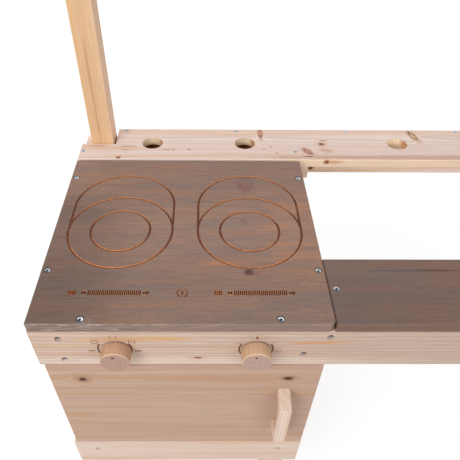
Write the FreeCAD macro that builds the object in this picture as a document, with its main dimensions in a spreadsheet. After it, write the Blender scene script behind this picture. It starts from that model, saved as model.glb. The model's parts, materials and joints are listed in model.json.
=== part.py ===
"""A child's mud kitchen of planed fir boards.

A hob over an oven stands at the left. A worktop plank, an open bay for a tub and a rear board with
round holes run on to the right. Two tall posts at the back carry an upper shelf.

Frame: +X to the right as seen by the child, +Y away from the child, +Z up. The origin lies on the
floor, under the middle of the whole outline. All lengths are millimetres.
"""

import FreeCAD, Part
import math
import os
import Sketcher

from collections import namedtuple

from FreeCAD import Rotation, Vector

# Driving dimensions, one cell of the sheet each
SIZES = {
    # the whole kitchen and its timber
    "kitchen_width": 1006.0,
    "kitchen_depth": 471.0,
    "kitchen_height": 945.0,
    "worktop_height": 520.0,
    "board_thickness": 15.0,
    "side_thickness": 18.0,
    "back_thickness": 12.0,
    "post_side": 40.0,
    "rail_height": 78.0,
    "course_gap": 4.0,
    "edge_ease": 1.5,
    # hob with its engraved cooking zones
    "hob_width": 399.0,
    "rear_gap": 4.0,
    "hob_corner_radius": 9.0,
    "outer_corner_radius": 3.0,
    "zone_spacing": 196.8,
    "zone_back_margin": 48.0,
    "inner_ring_radius": 45.0,
    "outer_ring_radius": 79.0,
    "zone_stretch": 59.0,
    "groove_width": 2.6,
    "groove_depth": 0.8,
    # worktop plank and the cleats beside the cooker
    "plank_depth": 118.0,
    "plank_gap": 0.8,
    "plank_corner_radius": 2.0,
    "cleat_width": 19.0,
    "cleat_height": 25.0,
    # rear board
    "rear_board_depth": 103.0,
    "notch_front_gap": 0.5,
    "notch_side_gap": 4.0,
    "cup_hole_diameter": 38.0,
    "cup_hole_from_back": 50.0,
    "first_hole_from_end": 130.4,
    "last_hole_from_end": 243.0,
    "hole_spacing": 172.8,
    # turned knobs and what they turn on
    "first_knob_from_end": 111.5,
    "knob_spacing": 187.8,
    "knob_drop": 2.0,
    "knob_base_radius": 20.4,
    "knob_front_radius": 19.9,
    "knob_length": 18.6,
    "knob_edge_radius": 1.6,
    "pointer_radius": 1.6,
    "pointer_reach": 11.5,
    "pointer_depth": 2.0,
    "left_pointer_turn": 8.0,
    "right_pointer_turn": 6.0,
    "spacer_radius": 17.0,
    "spacer_thickness": 2.0,
    "bolt_radius": 2.5,
    "bolt_engagement": 12.0,
    "bolt_head_radius": 5.0,
    "bolt_head_height": 3.0,
    "washer_radius": 7.0,
    "washer_thickness": 1.2,
    "running_fit": 0.08,
    "running_gap": 0.3,
    # oven door with its battens and pull
    "door_thickness": 12.0,
    "door_left_inset": 5.5,
    "door_right_inset": 0.5,
    "door_reveal": 2.0,
    "batten_width": 36.0,
    "batten_thickness": 12.0,
    "batten_margin": 24.0,
    "handle_length": 120.0,
    "handle_reach": 34.0,
    "handle_width": 18.0,
    "handle_foot": 20.0,
    "handle_bar": 14.0,
    "handle_slope": 8.0,
    "handle_edge_radius": 2.5,
    "handle_from_edge": 40.0,
    # butt hinges and magnet catch
    "leaf_height": 50.0,
    "leaf_width": 34.0,
    "leaf_thickness": 1.2,
    "leaf_gap": 0.6,
    "knuckle_radius": 2.5,
    "pin_radius": 1.2,
    "hinge_from_end": 32.0,
    "magnet_width": 12.0,
    "magnet_depth": 26.0,
    "magnet_height": 40.0,
    "magnet_from_top": 24.0,
    "plate_thickness": 1.0,
    # oven floor
    "floor_slat_gap": 5.0,
    "fitting_gap": 0.5,
    # countersunk screws of the frame, their heads sunk in straight bores
    "screw_head_radius": 4.4,
    "screw_head_depth": 2.6,
    "screw_shank_radius": 2.0,
    "screw_length": 38.0,
    "screw_fit": 0.1,
    "screw_bore_radius": 4.8,
    "top_screw_sink": 0.4,
    "side_screw_sink": 1.8,
    "rear_screw_from_end": 77.0,
    "rear_screw_inset": 6.5,
    "rear_screw_from_back": 6.5,
    "hob_screw_from_front": 9.0,
    "rear_screw_cooker_inset": 3.5,
    "fascia_screw_inset": 3.2,
    "fascia_screw_from_end": 37.0,
    # small screws of hinges, catch, battens, pull, cleats and oven floor
    "fitting_screw_head_radius": 2.6,
    "fitting_screw_head_depth": 1.2,
    "fitting_screw_shank_radius": 1.3,
    "leaf_screw_length": 10.0,
    "batten_screw_length": 20.0,
    "handle_screw_length": 24.0,
    "magnet_screw_length": 24.0,
    "slat_screw_length": 28.0,
    "cleat_screw_length": 30.0,
    "slat_screw_inset": 10.0,
    # length by which every cutting shape runs past what it cuts
    "overrun": 5.0,
}

# Where screws sit along the pieces they hold, as shares of those pieces
HOB_SIDE_SCREW_SHARES = (0.26, 0.857)
HOB_FRONT_SCREW_SHARES = (0.176, 0.823)
FASCIA_LEG_SCREW_SHARES = (0.175, 0.787)
FASCIA_UPPER_SCREW_SHARE = 0.84
FASCIA_LOWER_SCREW_SHARE = 0.344
FASCIA_LOWER_SCREW_LEG_SHARE = 0.61
REAR_FRONT_SCREW_SHARE = 0.256
PLANK_SCREW_SHARE = 0.517
PLANK_SCREW_CLEAT_SHARE = 0.56
SIDE_SCREW_SHARE = 0.5
BACK_SCREW_SHARE = 0.65
LEAF_SCREW_ACROSS_SHARE = 0.72
LEAF_SCREW_SHARES = (0.25, 0.75)
BATTEN_SCREW_SHARES = (0.15, 0.5, 0.85)
CATCH_SCREW_SHARES = (0.2, 0.8)
CLEAT_SCREW_SHARES = (0.36, 0.64)
MIDDLE_SHARE = 0.5

# An edge is eased by no more than this share of the wood's thickness
EASE_LIMIT_SHARE = 0.25

# Counts of board courses down the cooker, slats in the oven floor, screws along the rear board's
# back edge and knuckles in a hinge
COURSES = 5
FLOOR_SLATS = 5
REAR_SCREWS = 5
KNUCKLES = 3

# Coordinates that differ by less than this are the same
SAME = 1e-5

# A screw head level with its surface, and a form without any room round it
FLUSH = 0.0
EXACT = 0.0

# Positions worked out from the driving dimensions, as formulas of a second sheet
PLACES = {
    "left_end": "-sizes.kitchen_width / 2",
    "right_end": "sizes.kitchen_width / 2",
    "front_face": "(sizes.handle_reach - sizes.kitchen_depth) / 2",
    "back_face": "front_face + sizes.kitchen_depth",
    "frame_front": "front_face + sizes.board_thickness",
    "frame_back": "back_face - sizes.back_thickness",
    "frame_top": "sizes.worktop_height - sizes.board_thickness",
    "left_inner": "left_end + sizes.side_thickness",
    "right_inner": "right_end - sizes.side_thickness",
    "cooker_right": "left_end + sizes.hob_width",
    "cooker_inner": "cooker_right - sizes.side_thickness",
    "hob_depth": "sizes.kitchen_depth - sizes.rear_board_depth - sizes.rear_gap",
    "zone_rear": "hob_depth - sizes.zone_back_margin - sizes.outer_ring_radius",
    "zone_front": "zone_rear - sizes.zone_stretch",
    "left_leg_right": "left_inner + sizes.post_side",
    "middle_leg_left": "cooker_inner - sizes.post_side",
    "right_leg_left": "right_inner - sizes.post_side",
    "front_leg_back": "frame_front + sizes.post_side",
    "rear_leg_front": "frame_back - sizes.post_side",
    "rear_board_front": "back_face - sizes.rear_board_depth",
    "plank_left": "cooker_right + sizes.plank_gap",
    "plank_back": "front_face + sizes.plank_depth",
    "course_pitch": "sizes.rail_height + sizes.course_gap",
    "fascia_bottom": "frame_top - sizes.rail_height",
    "low_rail_top": f"frame_top - {COURSES - 1} * course_pitch",
    "post_top": "sizes.kitchen_height - sizes.board_thickness",
    "upper_rail_bottom": "post_top - sizes.rail_height",
    "cleat_bottom": "frame_top - sizes.cleat_height",
    "bearer_top": "low_rail_top - sizes.board_thickness",
    "bearer_bottom": "bearer_top - sizes.cleat_height",
    "slat_room": "frame_back - frame_front - 2 * sizes.fitting_gap",
    "slat_pitch": f"(slat_room + sizes.floor_slat_gap) / {FLOOR_SLATS}",
    "knob_height": "frame_top - sizes.rail_height / 2 - sizes.knob_drop",
    "first_knob": "left_end + sizes.first_knob_from_end",
    "second_knob": "first_knob + sizes.knob_spacing",
    "knob_back": "front_face - sizes.spacer_thickness - sizes.running_gap",
    "door_left": "left_end + sizes.door_left_inset",
    "door_right": "cooker_right - sizes.door_right_inset",
    "door_bottom": "low_rail_top + sizes.door_reveal",
    "door_top": "fascia_bottom - sizes.door_reveal",
    "door_back": "frame_front - 2 * sizes.leaf_thickness - sizes.leaf_gap",
    "door_front": "door_back - sizes.door_thickness",
    "hinge_x": "door_left - sizes.knuckle_radius - sizes.running_gap",
    "hinge_y": "frame_front - sizes.knuckle_radius - sizes.running_gap",
    "lower_hinge": "door_bottom + sizes.hinge_from_end",
    "upper_hinge": "door_top - sizes.hinge_from_end - sizes.leaf_height",
    "knuckle_length": f"sizes.leaf_height / {KNUCKLES}",
    "magnet_left": "middle_leg_left - sizes.magnet_width",
    "magnet_top": "door_top - sizes.magnet_from_top",
    "magnet_bottom": "magnet_top - sizes.magnet_height",
    "magnet_front": "door_back + sizes.plate_thickness + sizes.running_gap",
}

DOWN = Vector(0, 0, -1)
BACKWARD = Vector(0, 1, 0)
FORWARD = Vector(0, -1, 0)
RIGHTWARD = Vector(1, 0, 0)
LEFTWARD = Vector(-1, 0, 0)

doc = FreeCAD.newDocument("mud_kitchen")
pieces = {}


def fill_sheet(name, entries):
    """A sheet with one named cell per entry."""
    sheet = doc.addObject("Spreadsheet::Sheet", name)
    for row, (alias, entry) in enumerate(entries.items(), 1):
        sheet.set(f"A{row}", alias.replace("_", " "))
        sheet.set(f"B{row}", entry)
        sheet.setAlias(f"B{row}", alias)
    doc.recompute()
    return sheet


sizes = fill_sheet("sizes", {name: str(number) for name, number in SIZES.items()})
places = fill_sheet("places", {name: "=" + formula for name, formula in PLACES.items()})


def at(name):
    """Value of one cell, from either sheet."""
    sheet = sizes if name in SIZES else places
    return float(sheet.get(name))


def value(expression):
    """Value of an expression over the two sheets."""
    return float(sizes.evalExpression(expression))


def bind(obj, **expressions):
    """Ties properties of an object to expressions. A double underscore stands for a dot."""
    for name, expression in expressions.items():
        obj.setExpression(name.replace("__", "."), expression)


def put(obj, x, y, z):
    """Ties an object's place to three expressions."""
    bind(obj, Placement__Base__x=x, Placement__Base__y=y, Placement__Base__z=z)


def keep(obj, label):
    """Registers an object as the finished piece of that name."""
    obj.Label = label
    pieces[label] = obj
    return obj


def block(name, x, y, z):
    """A plain block between pairs of expressions along X, Y and Z."""
    box = doc.addObject("Part::Box", name)
    for side, (low, high) in zip(("Length", "Width", "Height"), (x, y, z)):
        box.setExpression(side, f"({high}) - ({low})")
    put(box, x[0], y[0], z[0])
    doc.recompute()
    return box


def timber(label, x, y, z):
    """A planed board or post, its long edges eased."""
    box = block(label + "_blank", x, y, z)
    lengths = [box.Length.Value, box.Width.Value, box.Height.Value]
    long_way = lengths.index(max(lengths))
    along = [0.0, 0.0, 0.0]
    along[long_way] = 1.0
    direction = Vector(*along)
    ease = min(at("edge_ease"), min(lengths) * EASE_LIMIT_SHARE)
    eased = doc.addObject("Part::Chamfer", label + "_eased")
    eased.Base = box
    eased.Edges = [
        (index, ease, ease)
        for index, edge in enumerate(box.Shape.Edges, 1)
        if abs(edge.tangentAt(edge.FirstParameter).dot(direction)) > 1 - SAME
    ]
    doc.recompute()
    return keep(eased, label)


def plane(body, role):
    """One of a body's own origin planes."""
    return next(f for f in body.Origin.OriginFeatures if f.Role == role)


def new_body(label, x="0", y="0", z="0"):
    """An empty body whose origin sits at the given place."""
    body = doc.addObject("PartDesign::Body", label)
    put(body, x, y, z)
    return keep(body, label)


def new_sketch(body, name, role, lift="0"):
    """A sketch on one of the body's origin planes, moved off it by an expression."""
    sketch = body.newObject("Sketcher::SketchObject", name)
    sketch.AttachmentSupport = [(plane(body, role), "")]
    sketch.MapMode = "FlatFace"
    sketch.setExpression("AttachmentOffset.Base.z", lift)
    return sketch


def pin(sketch, curve, point, across, up):
    """Fixes one point of a sketch at two expressions from the sketch's origin."""
    for kind, expression in (("DistanceX", across), ("DistanceY", up)):
        distance = value(expression)
        index = sketch.addConstraint(Sketcher.Constraint(kind, -1, 1, curve, point, distance))
        sketch.setExpression(f"Constraints[{index}]", expression)


def outline(sketch, corners):
    """A closed outline of straight sides through corners, each a pair of expressions."""
    points = [Vector(value(across), value(up), 0) for across, up in corners]
    ring = points[1:] + points[:1]
    sides = [sketch.addGeometry(Part.LineSegment(a, b), False) for a, b in zip(points, ring)]
    for side, following in zip(sides, sides[1:] + sides[:1]):
        sketch.addConstraint(Sketcher.Constraint("Coincident", side, 2, following, 1))
    for side, (across, up) in zip(sides, corners):
        pin(sketch, side, 1, across, up)


def circle(sketch, across, up, radius):
    """A circle whose centre and radius are expressions."""
    centre = Vector(value(across), value(up), 0)
    curve = sketch.addGeometry(Part.Circle(centre, Vector(0, 0, 1), value(radius)), False)
    pin(sketch, curve, 3, across, up)
    index = sketch.addConstraint(Sketcher.Constraint("Radius", curve, value(radius)))
    sketch.setExpression(f"Constraints[{index}]", radius)


def long_ring(sketch, across, low, high, radius):
    """A stadium outline: half circles about two centres one behind the other, joined by straights."""
    x = value(across)
    reach = value(radius)
    ends = (value(low), value(high))
    half_turn = math.pi
    arcs = []
    for centre, start in zip(ends, (half_turn, 0.0)):
        round_end = Part.Circle(Vector(x, centre, 0), Vector(0, 0, 1), reach)
        arcs.append(sketch.addGeometry(Part.ArcOfCircle(round_end, start, start + half_turn), False))
    straights = []
    for side in (1, -1):
        line = Part.LineSegment(Vector(x + side * reach, ends[0], 0), Vector(x + side * reach, ends[1], 0))
        straights.append(sketch.addGeometry(line, False))
    front, rear = arcs
    right, left = straights
    for first, first_end, second, second_end in (
        (front, 2, right, 1),
        (right, 2, rear, 1),
        (rear, 2, left, 2),
        (left, 1, front, 1),
    ):
        sketch.addConstraint(Sketcher.Constraint("Tangent", first, first_end, second, second_end))
    pin(sketch, front, 3, across, low)
    pin(sketch, rear, 3, across, high)
    index = sketch.addConstraint(Sketcher.Constraint("Radius", front, reach))
    sketch.setExpression(f"Constraints[{index}]", radius)


def pad(body, sketch, length):
    """Raises a sketch by an expression."""
    feature = body.newObject("PartDesign::Pad", sketch.Name + "_pad")
    feature.Profile = sketch
    feature.setExpression("Length", length)
    doc.recompute()
    return feature


def pocket(body, sketch, depth):
    """Cuts a sketch into the body by an expression, on the side where the material is."""
    before = body.Shape.Volume
    feature = body.newObject("PartDesign::Pocket", sketch.Name + "_pocket")
    feature.Profile = sketch
    feature.setExpression("Length", depth)
    doc.recompute()
    if feature.Shape.Volume >= before:
        feature.Reversed = True
        doc.recompute()
    if feature.Shape.Volume >= before:
        raise RuntimeError(f"{sketch.Name} cuts nothing")
    return feature


def revolve(body, sketch):
    """Turns a sketch once about the vertical axis of its own plane."""
    feature = body.newObject("PartDesign::Revolution", sketch.Name + "_turned")
    feature.Profile = sketch
    feature.ReferenceAxis = (sketch, ["V_Axis"])
    doc.recompute()
    return feature


def ease_edges(body, base, kind, size, wanted):
    """Fillets or chamfers the edges of a feature that a test picks out."""
    feature = body.newObject("PartDesign::" + kind, f"{body.Name}_{kind.lower()}")
    names = [f"Edge{i}" for i, edge in enumerate(base.Shape.Edges, 1) if wanted(edge)]
    feature.Base = (base, names)
    feature.setExpression("Radius" if kind == "Fillet" else "Size", size)
    doc.recompute()
    return feature


def boolean(kind, name, base, tool):
    """A cut or a union of two objects."""
    result = doc.addObject("Part::" + kind, name)
    result.Base = base
    result.Tool = tool
    doc.recompute()
    return result


def rod(name, radius, length, x, y, z, rotation=Rotation()):
    """A cylinder from a place, upright unless turned."""
    cylinder = doc.addObject("Part::Cylinder", name)
    bind(cylinder, Radius=radius, Height=length)
    cylinder.Placement.Rotation = rotation
    put(cylinder, x, y, z)
    doc.recompute()
    return cylinder


def group(label, shapes):
    """Separate solids of one kind, held in one piece."""
    feature = doc.addObject("Part::Feature", label)
    feature.Shape = Part.makeCompound(shapes)
    return keep(feature, label)


def level(edge, height):
    """True for an edge that lies flat at a height of its body."""
    return all(abs(vertex.Z - height) < SAME for vertex in edge.Vertexes)


def upright_at(edge, x, y):
    """True for an upright edge over a place of its body."""
    return all(abs(vertex.X - x) < SAME and abs(vertex.Y - y) < SAME for vertex in edge.Vertexes)


TO_BACK = Rotation(Vector(1, 0, 0), -90)
TO_FRONT = Rotation(Vector(1, 0, 0), 90)


def top_board(label, x, width, depth, left_radius, right_radius):
    """A board of the worktop, flush at the front: rounded front corners and an eased upper edge."""
    body = new_body(label, x, "places.front_face", "places.frame_top")
    sketch = new_sketch(body, f"{label}_outline", "XY_Plane")
    outline(sketch, [("0", "0"), (width, "0"), (width, depth), ("0", depth)])
    base = pad(body, sketch, "sizes.board_thickness")
    for corner, radius in (("0", left_radius), (width, right_radius)):
        corner_x = value(corner)
        base = ease_edges(body, base, "Fillet", radius, lambda edge: upright_at(edge, corner_x, 0))
    ease_edges(body, base, "Chamfer", "sizes.edge_ease", lambda edge: level(edge, at("board_thickness")))
    return body


def build_hob():
    """The stained board over the oven, with two engraved cooking zones."""
    body = top_board(
        "hob_board", "places.left_end", "sizes.hob_width", "places.hob_depth",
        "sizes.outer_corner_radius", "sizes.hob_corner_radius",
    )
    half = "sizes.groove_width / 2"
    zones = [f"sizes.hob_width / 2 {sign} sizes.zone_spacing / 2" for sign in "-+"]
    rings = new_sketch(body, "hob_rings", "XY_Plane", "sizes.board_thickness")
    for zone in zones:
        for radius in ("sizes.inner_ring_radius", "sizes.outer_ring_radius"):
            for sign in "-+":
                circle(rings, zone, "places.zone_front", f"{radius} {sign} {half}")
    pocket(body, rings, "sizes.groove_depth")
    for index, zone in enumerate(zones):
        stretched = new_sketch(body, f"hob_long_zone_{index}", "XY_Plane", "sizes.board_thickness")
        for sign in "-+":
            radius = f"sizes.outer_ring_radius {sign} {half}"
            long_ring(stretched, zone, "places.zone_front", "places.zone_rear", radius)
        pocket(body, stretched, "sizes.groove_depth")


def build_worktop():
    """The stained plank to the right of the hob and the two cleats on the cooker's side."""
    top_board(
        "worktop_plank", "places.plank_left", "places.right_end - places.plank_left", "sizes.plank_depth",
        "sizes.plank_corner_radius", "sizes.outer_corner_radius",
    )
    beside = ("places.cooker_right", "places.cooker_right + sizes.cleat_width")
    upright = ("places.cleat_bottom", "places.frame_top")
    timber("plank_cleat", beside, ("places.frame_front", "places.plank_back"), upright)
    timber("rear_cleat", beside, ("places.rear_board_front", "places.frame_back"), upright)


def build_rear_board():
    """The holed board at the back, notched at both rear corners around the tall posts."""
    body = new_body("rear_board", "places.left_end", "places.rear_board_front", "places.frame_top")
    sketch = new_sketch(body, "rear_outline", "XY_Plane")
    notch = "sizes.side_thickness + sizes.post_side + sizes.notch_side_gap"
    step = "places.rear_leg_front - places.rear_board_front - sizes.notch_front_gap"
    outline(sketch, [
        ("0", "0"),
        ("sizes.kitchen_width", "0"),
        ("sizes.kitchen_width", step),
        (f"sizes.kitchen_width - ({notch})", step),
        (f"sizes.kitchen_width - ({notch})", "sizes.rear_board_depth"),
        (notch, "sizes.rear_board_depth"),
        (notch, step),
        ("0", step),
    ])
    base = pad(body, sketch, "sizes.board_thickness")
    ease_edges(body, base, "Chamfer", "sizes.edge_ease", lambda edge: level(edge, at("board_thickness")))
    holes = new_sketch(body, "cup_holes", "XY_Plane", "sizes.board_thickness")
    left_hole = "sizes.first_hole_from_end"
    right_hole = "sizes.kitchen_width - sizes.last_hole_from_end"
    for across in (
        left_hole, f"{left_hole} + sizes.hole_spacing", f"{right_hole} - sizes.hole_spacing", right_hole,
    ):
        up = "sizes.rear_board_depth - sizes.cup_hole_from_back"
        circle(holes, across, up, "sizes.cup_hole_diameter / 2")
    pocket(body, holes, "sizes.board_thickness + sizes.overrun")


def build_frame():
    """Legs, tall posts, rails and the boards that close the cooker's sides and back."""
    left_leg = ("places.left_inner", "places.left_leg_right")
    middle_leg = ("places.middle_leg_left", "places.cooker_inner")
    right_leg = ("places.right_leg_left", "places.right_inner")
    front = ("places.frame_front", "places.front_leg_back")
    rear = ("places.rear_leg_front", "places.frame_back")
    short = ("0", "places.frame_top")
    tall = ("0", "places.post_top")
    timber("front_left_leg", left_leg, front, short)
    timber("front_middle_leg", middle_leg, front, short)
    timber("front_right_leg", right_leg, front, short)
    timber("rear_left_post", left_leg, rear, tall)
    timber("rear_middle_leg", middle_leg, rear, short)
    timber("rear_right_post", right_leg, rear, tall)

    whole = ("places.left_end", "places.right_end")
    cooker = ("places.left_end", "places.cooker_right")
    front_boards = ("places.front_face", "places.frame_front")
    back_boards = ("places.frame_back", "places.back_face")
    front_to_back = ("places.frame_front", "places.frame_back")
    first = course(0)
    last = course(COURSES - 1)
    timber("front_fascia", whole, front_boards, first)
    timber("oven_low_rail", cooker, front_boards, last)
    timber("back_apron", whole, back_boards, first)
    for index in range(1, COURSES):
        timber(f"back_board_{index}", cooker, back_boards, course(index))
    left = ("places.left_end", "places.left_inner")
    middle = ("places.cooker_inner", "places.cooker_right")
    right = ("places.right_inner", "places.right_end")
    for index in range(COURSES):
        timber(f"left_side_board_{index + 1}", left, front_to_back, course(index))
        timber(f"middle_side_board_{index + 1}", middle, front_to_back, course(index))
    timber("right_side_top_board", right, front_to_back, first)
    timber("right_side_low_board", right, front_to_back, last)

    over = ("places.post_top", "sizes.kitchen_height")
    timber("upper_shelf", whole, ("places.rear_board_front", "places.back_face"), over)
    timber("upper_rail", whole, back_boards, ("places.upper_rail_bottom", "places.post_top"))


def course(index):
    """Bottom and top of one course of boards, counted down from under the worktop."""
    top = f"places.frame_top - {index} * places.course_pitch"
    return f"{top} - sizes.rail_height", top


def build_oven_floor():
    """Slats across the oven, notched around the legs, on two bearers."""
    upright = ("places.bearer_bottom", "places.bearer_top")
    between_legs = ("places.front_leg_back", "places.rear_leg_front")
    timber(
        "left_floor_bearer",
        ("places.left_inner", "places.left_inner + sizes.cleat_width"), between_legs, upright,
    )
    timber(
        "right_floor_bearer",
        ("places.cooker_inner - sizes.cleat_width", "places.cooker_inner"), between_legs, upright,
    )
    across = ("places.left_inner + sizes.fitting_gap", "places.cooker_inner - sizes.fitting_gap")
    thick = ("places.bearer_top", "places.low_rail_top")
    legs = leg_notches()
    for index in range(FLOOR_SLATS):
        start = f"places.frame_front + sizes.fitting_gap + {index} * places.slat_pitch"
        label = f"oven_floor_slat_{index + 1}"
        slat = timber(label, across, (start, f"{start} + places.slat_pitch - sizes.floor_slat_gap"), thick)
        notched = [leg for leg in legs if leg.Shape.common(slat.Shape).Volume > 0]
        for number, leg in enumerate(notched):
            slat = boolean("Cut", f"{label}_notched_{number}", slat, leg)
        keep(slat, label)


def leg_notches():
    """Room around each of the cooker's legs, for the oven floor to clear."""
    upright = ("places.bearer_bottom", "places.frame_top")
    gap = "sizes.fitting_gap"
    spans_x = {
        "left": ("places.left_end", f"places.left_leg_right + {gap}"),
        "right": (f"places.middle_leg_left - {gap}", "places.cooker_right"),
    }
    spans_y = {
        "front": ("places.front_face", f"places.front_leg_back + {gap}"),
        "rear": (f"places.rear_leg_front - {gap}", "places.back_face"),
    }
    return [
        block(f"{side}_{end}_leg_room", x, y, upright)
        for side, x in spans_x.items()
        for end, y in spans_y.items()
    ]


def build_door():
    """The oven door: panel, two battens behind, pull in front, catch plate."""
    panel_x = ("places.door_left", "places.door_right")
    panel_z = ("places.door_bottom", "places.door_top")
    timber("oven_door", panel_x, ("places.door_front", "places.door_back"), panel_z)
    behind = ("places.door_back", "places.door_back + sizes.batten_thickness")
    upright = ("places.door_bottom + sizes.batten_margin", "places.door_top - sizes.batten_margin")
    left = "places.left_leg_right + sizes.batten_margin"
    right = "places.magnet_left - sizes.batten_margin"
    timber("door_batten_left", (left, f"{left} + sizes.batten_width"), behind, upright)
    timber("door_batten_right", (f"{right} - sizes.batten_width", right), behind, upright)
    catch_x = ("places.magnet_left", "places.middle_leg_left")
    catch_z = ("places.magnet_bottom", "places.magnet_top")
    plate_y = ("places.door_back", "places.door_back + sizes.plate_thickness")
    keep(block("catch_plate_blank", catch_x, plate_y, catch_z), "catch_plate")
    magnet_y = ("places.magnet_front", "places.magnet_front + sizes.magnet_depth")
    keep(block("catch_magnet_blank", catch_x, magnet_y, catch_z), "catch_magnet")
    build_handle()


def build_handle():
    """A wooden bridge pull: two feet on the door, a bar across them, eased all round."""
    middle = "(places.door_bottom + places.door_top) / 2"
    body = new_body(
        "door_handle", "places.door_right - sizes.handle_from_edge - sizes.handle_width / 2",
        "places.door_front", middle,
    )
    sketch = new_sketch(body, "handle_outline", "YZ_Plane", "-sizes.handle_width / 2")
    half = "sizes.handle_length / 2"
    gap = "(sizes.handle_length / 2 - sizes.handle_foot)"
    inner = "-(sizes.handle_reach - sizes.handle_bar)"
    outline(sketch, [
        ("0", f"-{half}"),
        ("0", f"-{gap}"),
        (inner, f"-{gap} + sizes.handle_slope"),
        (inner, f"{gap} - sizes.handle_slope"),
        ("0", gap),
        ("0", half),
        ("-sizes.handle_reach", f"{half} - sizes.handle_slope"),
        ("-sizes.handle_reach", f"-{half} + sizes.handle_slope"),
    ])
    base = pad(body, sketch, "sizes.handle_width")
    ease_edges(
        body, base, "Fillet", "sizes.handle_edge_radius",
        lambda edge: any(v.Y < -at("edge_ease") for v in edge.Vertexes),
    )


def build_hinges():
    """Two butt hinges at the door's left edge: frame leaves, door leaves and pins."""
    frame_leaves = []
    door_leaves = []
    pins = []
    for name, low in (("lower", "places.lower_hinge"), ("upper", "places.upper_hinge")):
        frame_leaves.append(hinge_leaf(
            f"{name}_frame_leaf", low, (0, KNUCKLES - 1), (1,),
            ("places.frame_front - sizes.leaf_thickness", "places.frame_front"),
        ))
        door_leaves.append(hinge_leaf(
            f"{name}_door_leaf", low, (1,), (0, KNUCKLES - 1),
            ("places.door_back", "places.door_back + sizes.leaf_thickness"),
        ))
        pins.append(rod(
            f"{name}_hinge_pin", "sizes.pin_radius", "sizes.leaf_height",
            "places.hinge_x", "places.hinge_y", low,
        ))
    group("hinge_frame_leaves", [leaf.Shape for leaf in frame_leaves])
    group("hinge_door_leaves", [leaf.Shape for leaf in door_leaves])
    group("hinge_pins", [pin_rod.Shape for pin_rod in pins])


def hinge_leaf(name, low, own, others, thick):
    """A flat leaf with its own knuckles round the pin, cut back at the other leaf's knuckles."""
    x = ("places.hinge_x", "places.hinge_x + sizes.leaf_width")
    leaf = block(f"{name}_plate", x, thick, (low, f"{low} + sizes.leaf_height"))
    gap = "sizes.running_gap"
    for index in own:
        bottom = f"{low} + {index} * places.knuckle_length + {gap} / 2"
        knuckle = rod(
            f"{name}_knuckle_{index}", "sizes.knuckle_radius", f"places.knuckle_length - {gap}",
            "places.hinge_x", "places.hinge_y", bottom,
        )
        leaf = boolean("Fuse", f"{name}_joined_{index}", leaf, knuckle)
    for index in others:
        bottom = f"{low} + {index} * places.knuckle_length - {gap} / 2"
        room = rod(
            f"{name}_room_{index}", f"sizes.knuckle_radius + {gap}", f"places.knuckle_length + {gap}",
            "places.hinge_x", "places.hinge_y", bottom,
        )
        leaf = boolean("Cut", f"{name}_relieved_{index}", leaf, room)
    bore = rod(
        f"{name}_bore", "sizes.pin_radius + sizes.running_fit", "sizes.leaf_height + 2 * sizes.overrun",
        "places.hinge_x", "places.hinge_y", f"{low} - sizes.overrun",
    )
    return boolean("Cut", f"{name}_bored", leaf, bore)


def build_knobs():
    """Two turned knobs on bolts through the fascia, with a spacer in front and a washer behind."""
    spacers = []
    washers = []
    for name, x in (("left", "places.first_knob"), ("right", "places.second_knob")):
        knob_body(f"{name}_knob", x, f"sizes.{name}_pointer_turn")
        knob_bolt(f"{name}_knob_bolt", x)
        spacers.append(ring(
            f"{name}_spacer", "sizes.spacer_radius", "sizes.spacer_thickness", x,
            "places.front_face - sizes.spacer_thickness",
        ))
        washers.append(ring(
            f"{name}_washer", "sizes.washer_radius", "sizes.washer_thickness", x, "places.frame_front",
        ))
    group("knob_spacers", [spacer.Shape for spacer in spacers])
    group("knob_washers", [washer.Shape for washer in washers])


def knob_body(label, x, pointer_turn):
    """A knob turned about its bolt: slight taper, rounded front edge, drilled pointer dot.

    The dot stands a few degrees to the left of straight up.
    """
    body = new_body(label, x, "places.knob_back", "places.knob_height")
    body.Placement.Rotation = TO_FRONT
    sketch = new_sketch(body, f"{label}_profile", "XZ_Plane")
    hole = "sizes.bolt_radius"
    depth = "sizes.bolt_engagement"
    outline(sketch, [
        (hole, "0"),
        ("sizes.knob_base_radius", "0"),
        ("sizes.knob_front_radius", "sizes.knob_length"),
        ("0", "sizes.knob_length"),
        ("0", depth),
        (hole, depth),
    ])
    turned = revolve(body, sketch)
    front = at("knob_length")
    ease_edges(
        body, turned, "Fillet", "sizes.knob_edge_radius",
        lambda edge: level(edge, front) and edge.Length > at("knob_front_radius"),
    )
    dot = new_sketch(body, f"{label}_pointer", "XY_Plane", "sizes.knob_length")
    across = f"-sizes.pointer_reach * sin({pointer_turn})"
    circle(dot, across, f"sizes.pointer_reach * cos({pointer_turn})", "sizes.pointer_radius")
    pocket(body, dot, "sizes.pointer_depth")


def knob_bolt(label, x):
    """A pan-head bolt from behind the fascia into the knob."""
    body = new_body(label, x, "places.knob_back - sizes.bolt_engagement", "places.knob_height")
    body.Placement.Rotation = TO_BACK
    sketch = new_sketch(body, f"{label}_profile", "XZ_Plane")
    grip = (
        "sizes.bolt_engagement + 2 * sizes.running_gap + sizes.spacer_thickness"
        " + sizes.board_thickness + sizes.washer_thickness"
    )
    outline(sketch, [
        ("0", "0"),
        ("sizes.bolt_radius", "0"),
        ("sizes.bolt_radius", grip),
        ("sizes.bolt_head_radius", grip),
        ("sizes.bolt_head_radius", f"{grip} + sizes.bolt_head_height"),
        ("0", f"{grip} + sizes.bolt_head_height"),
    ])
    revolve(body, sketch)


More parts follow.
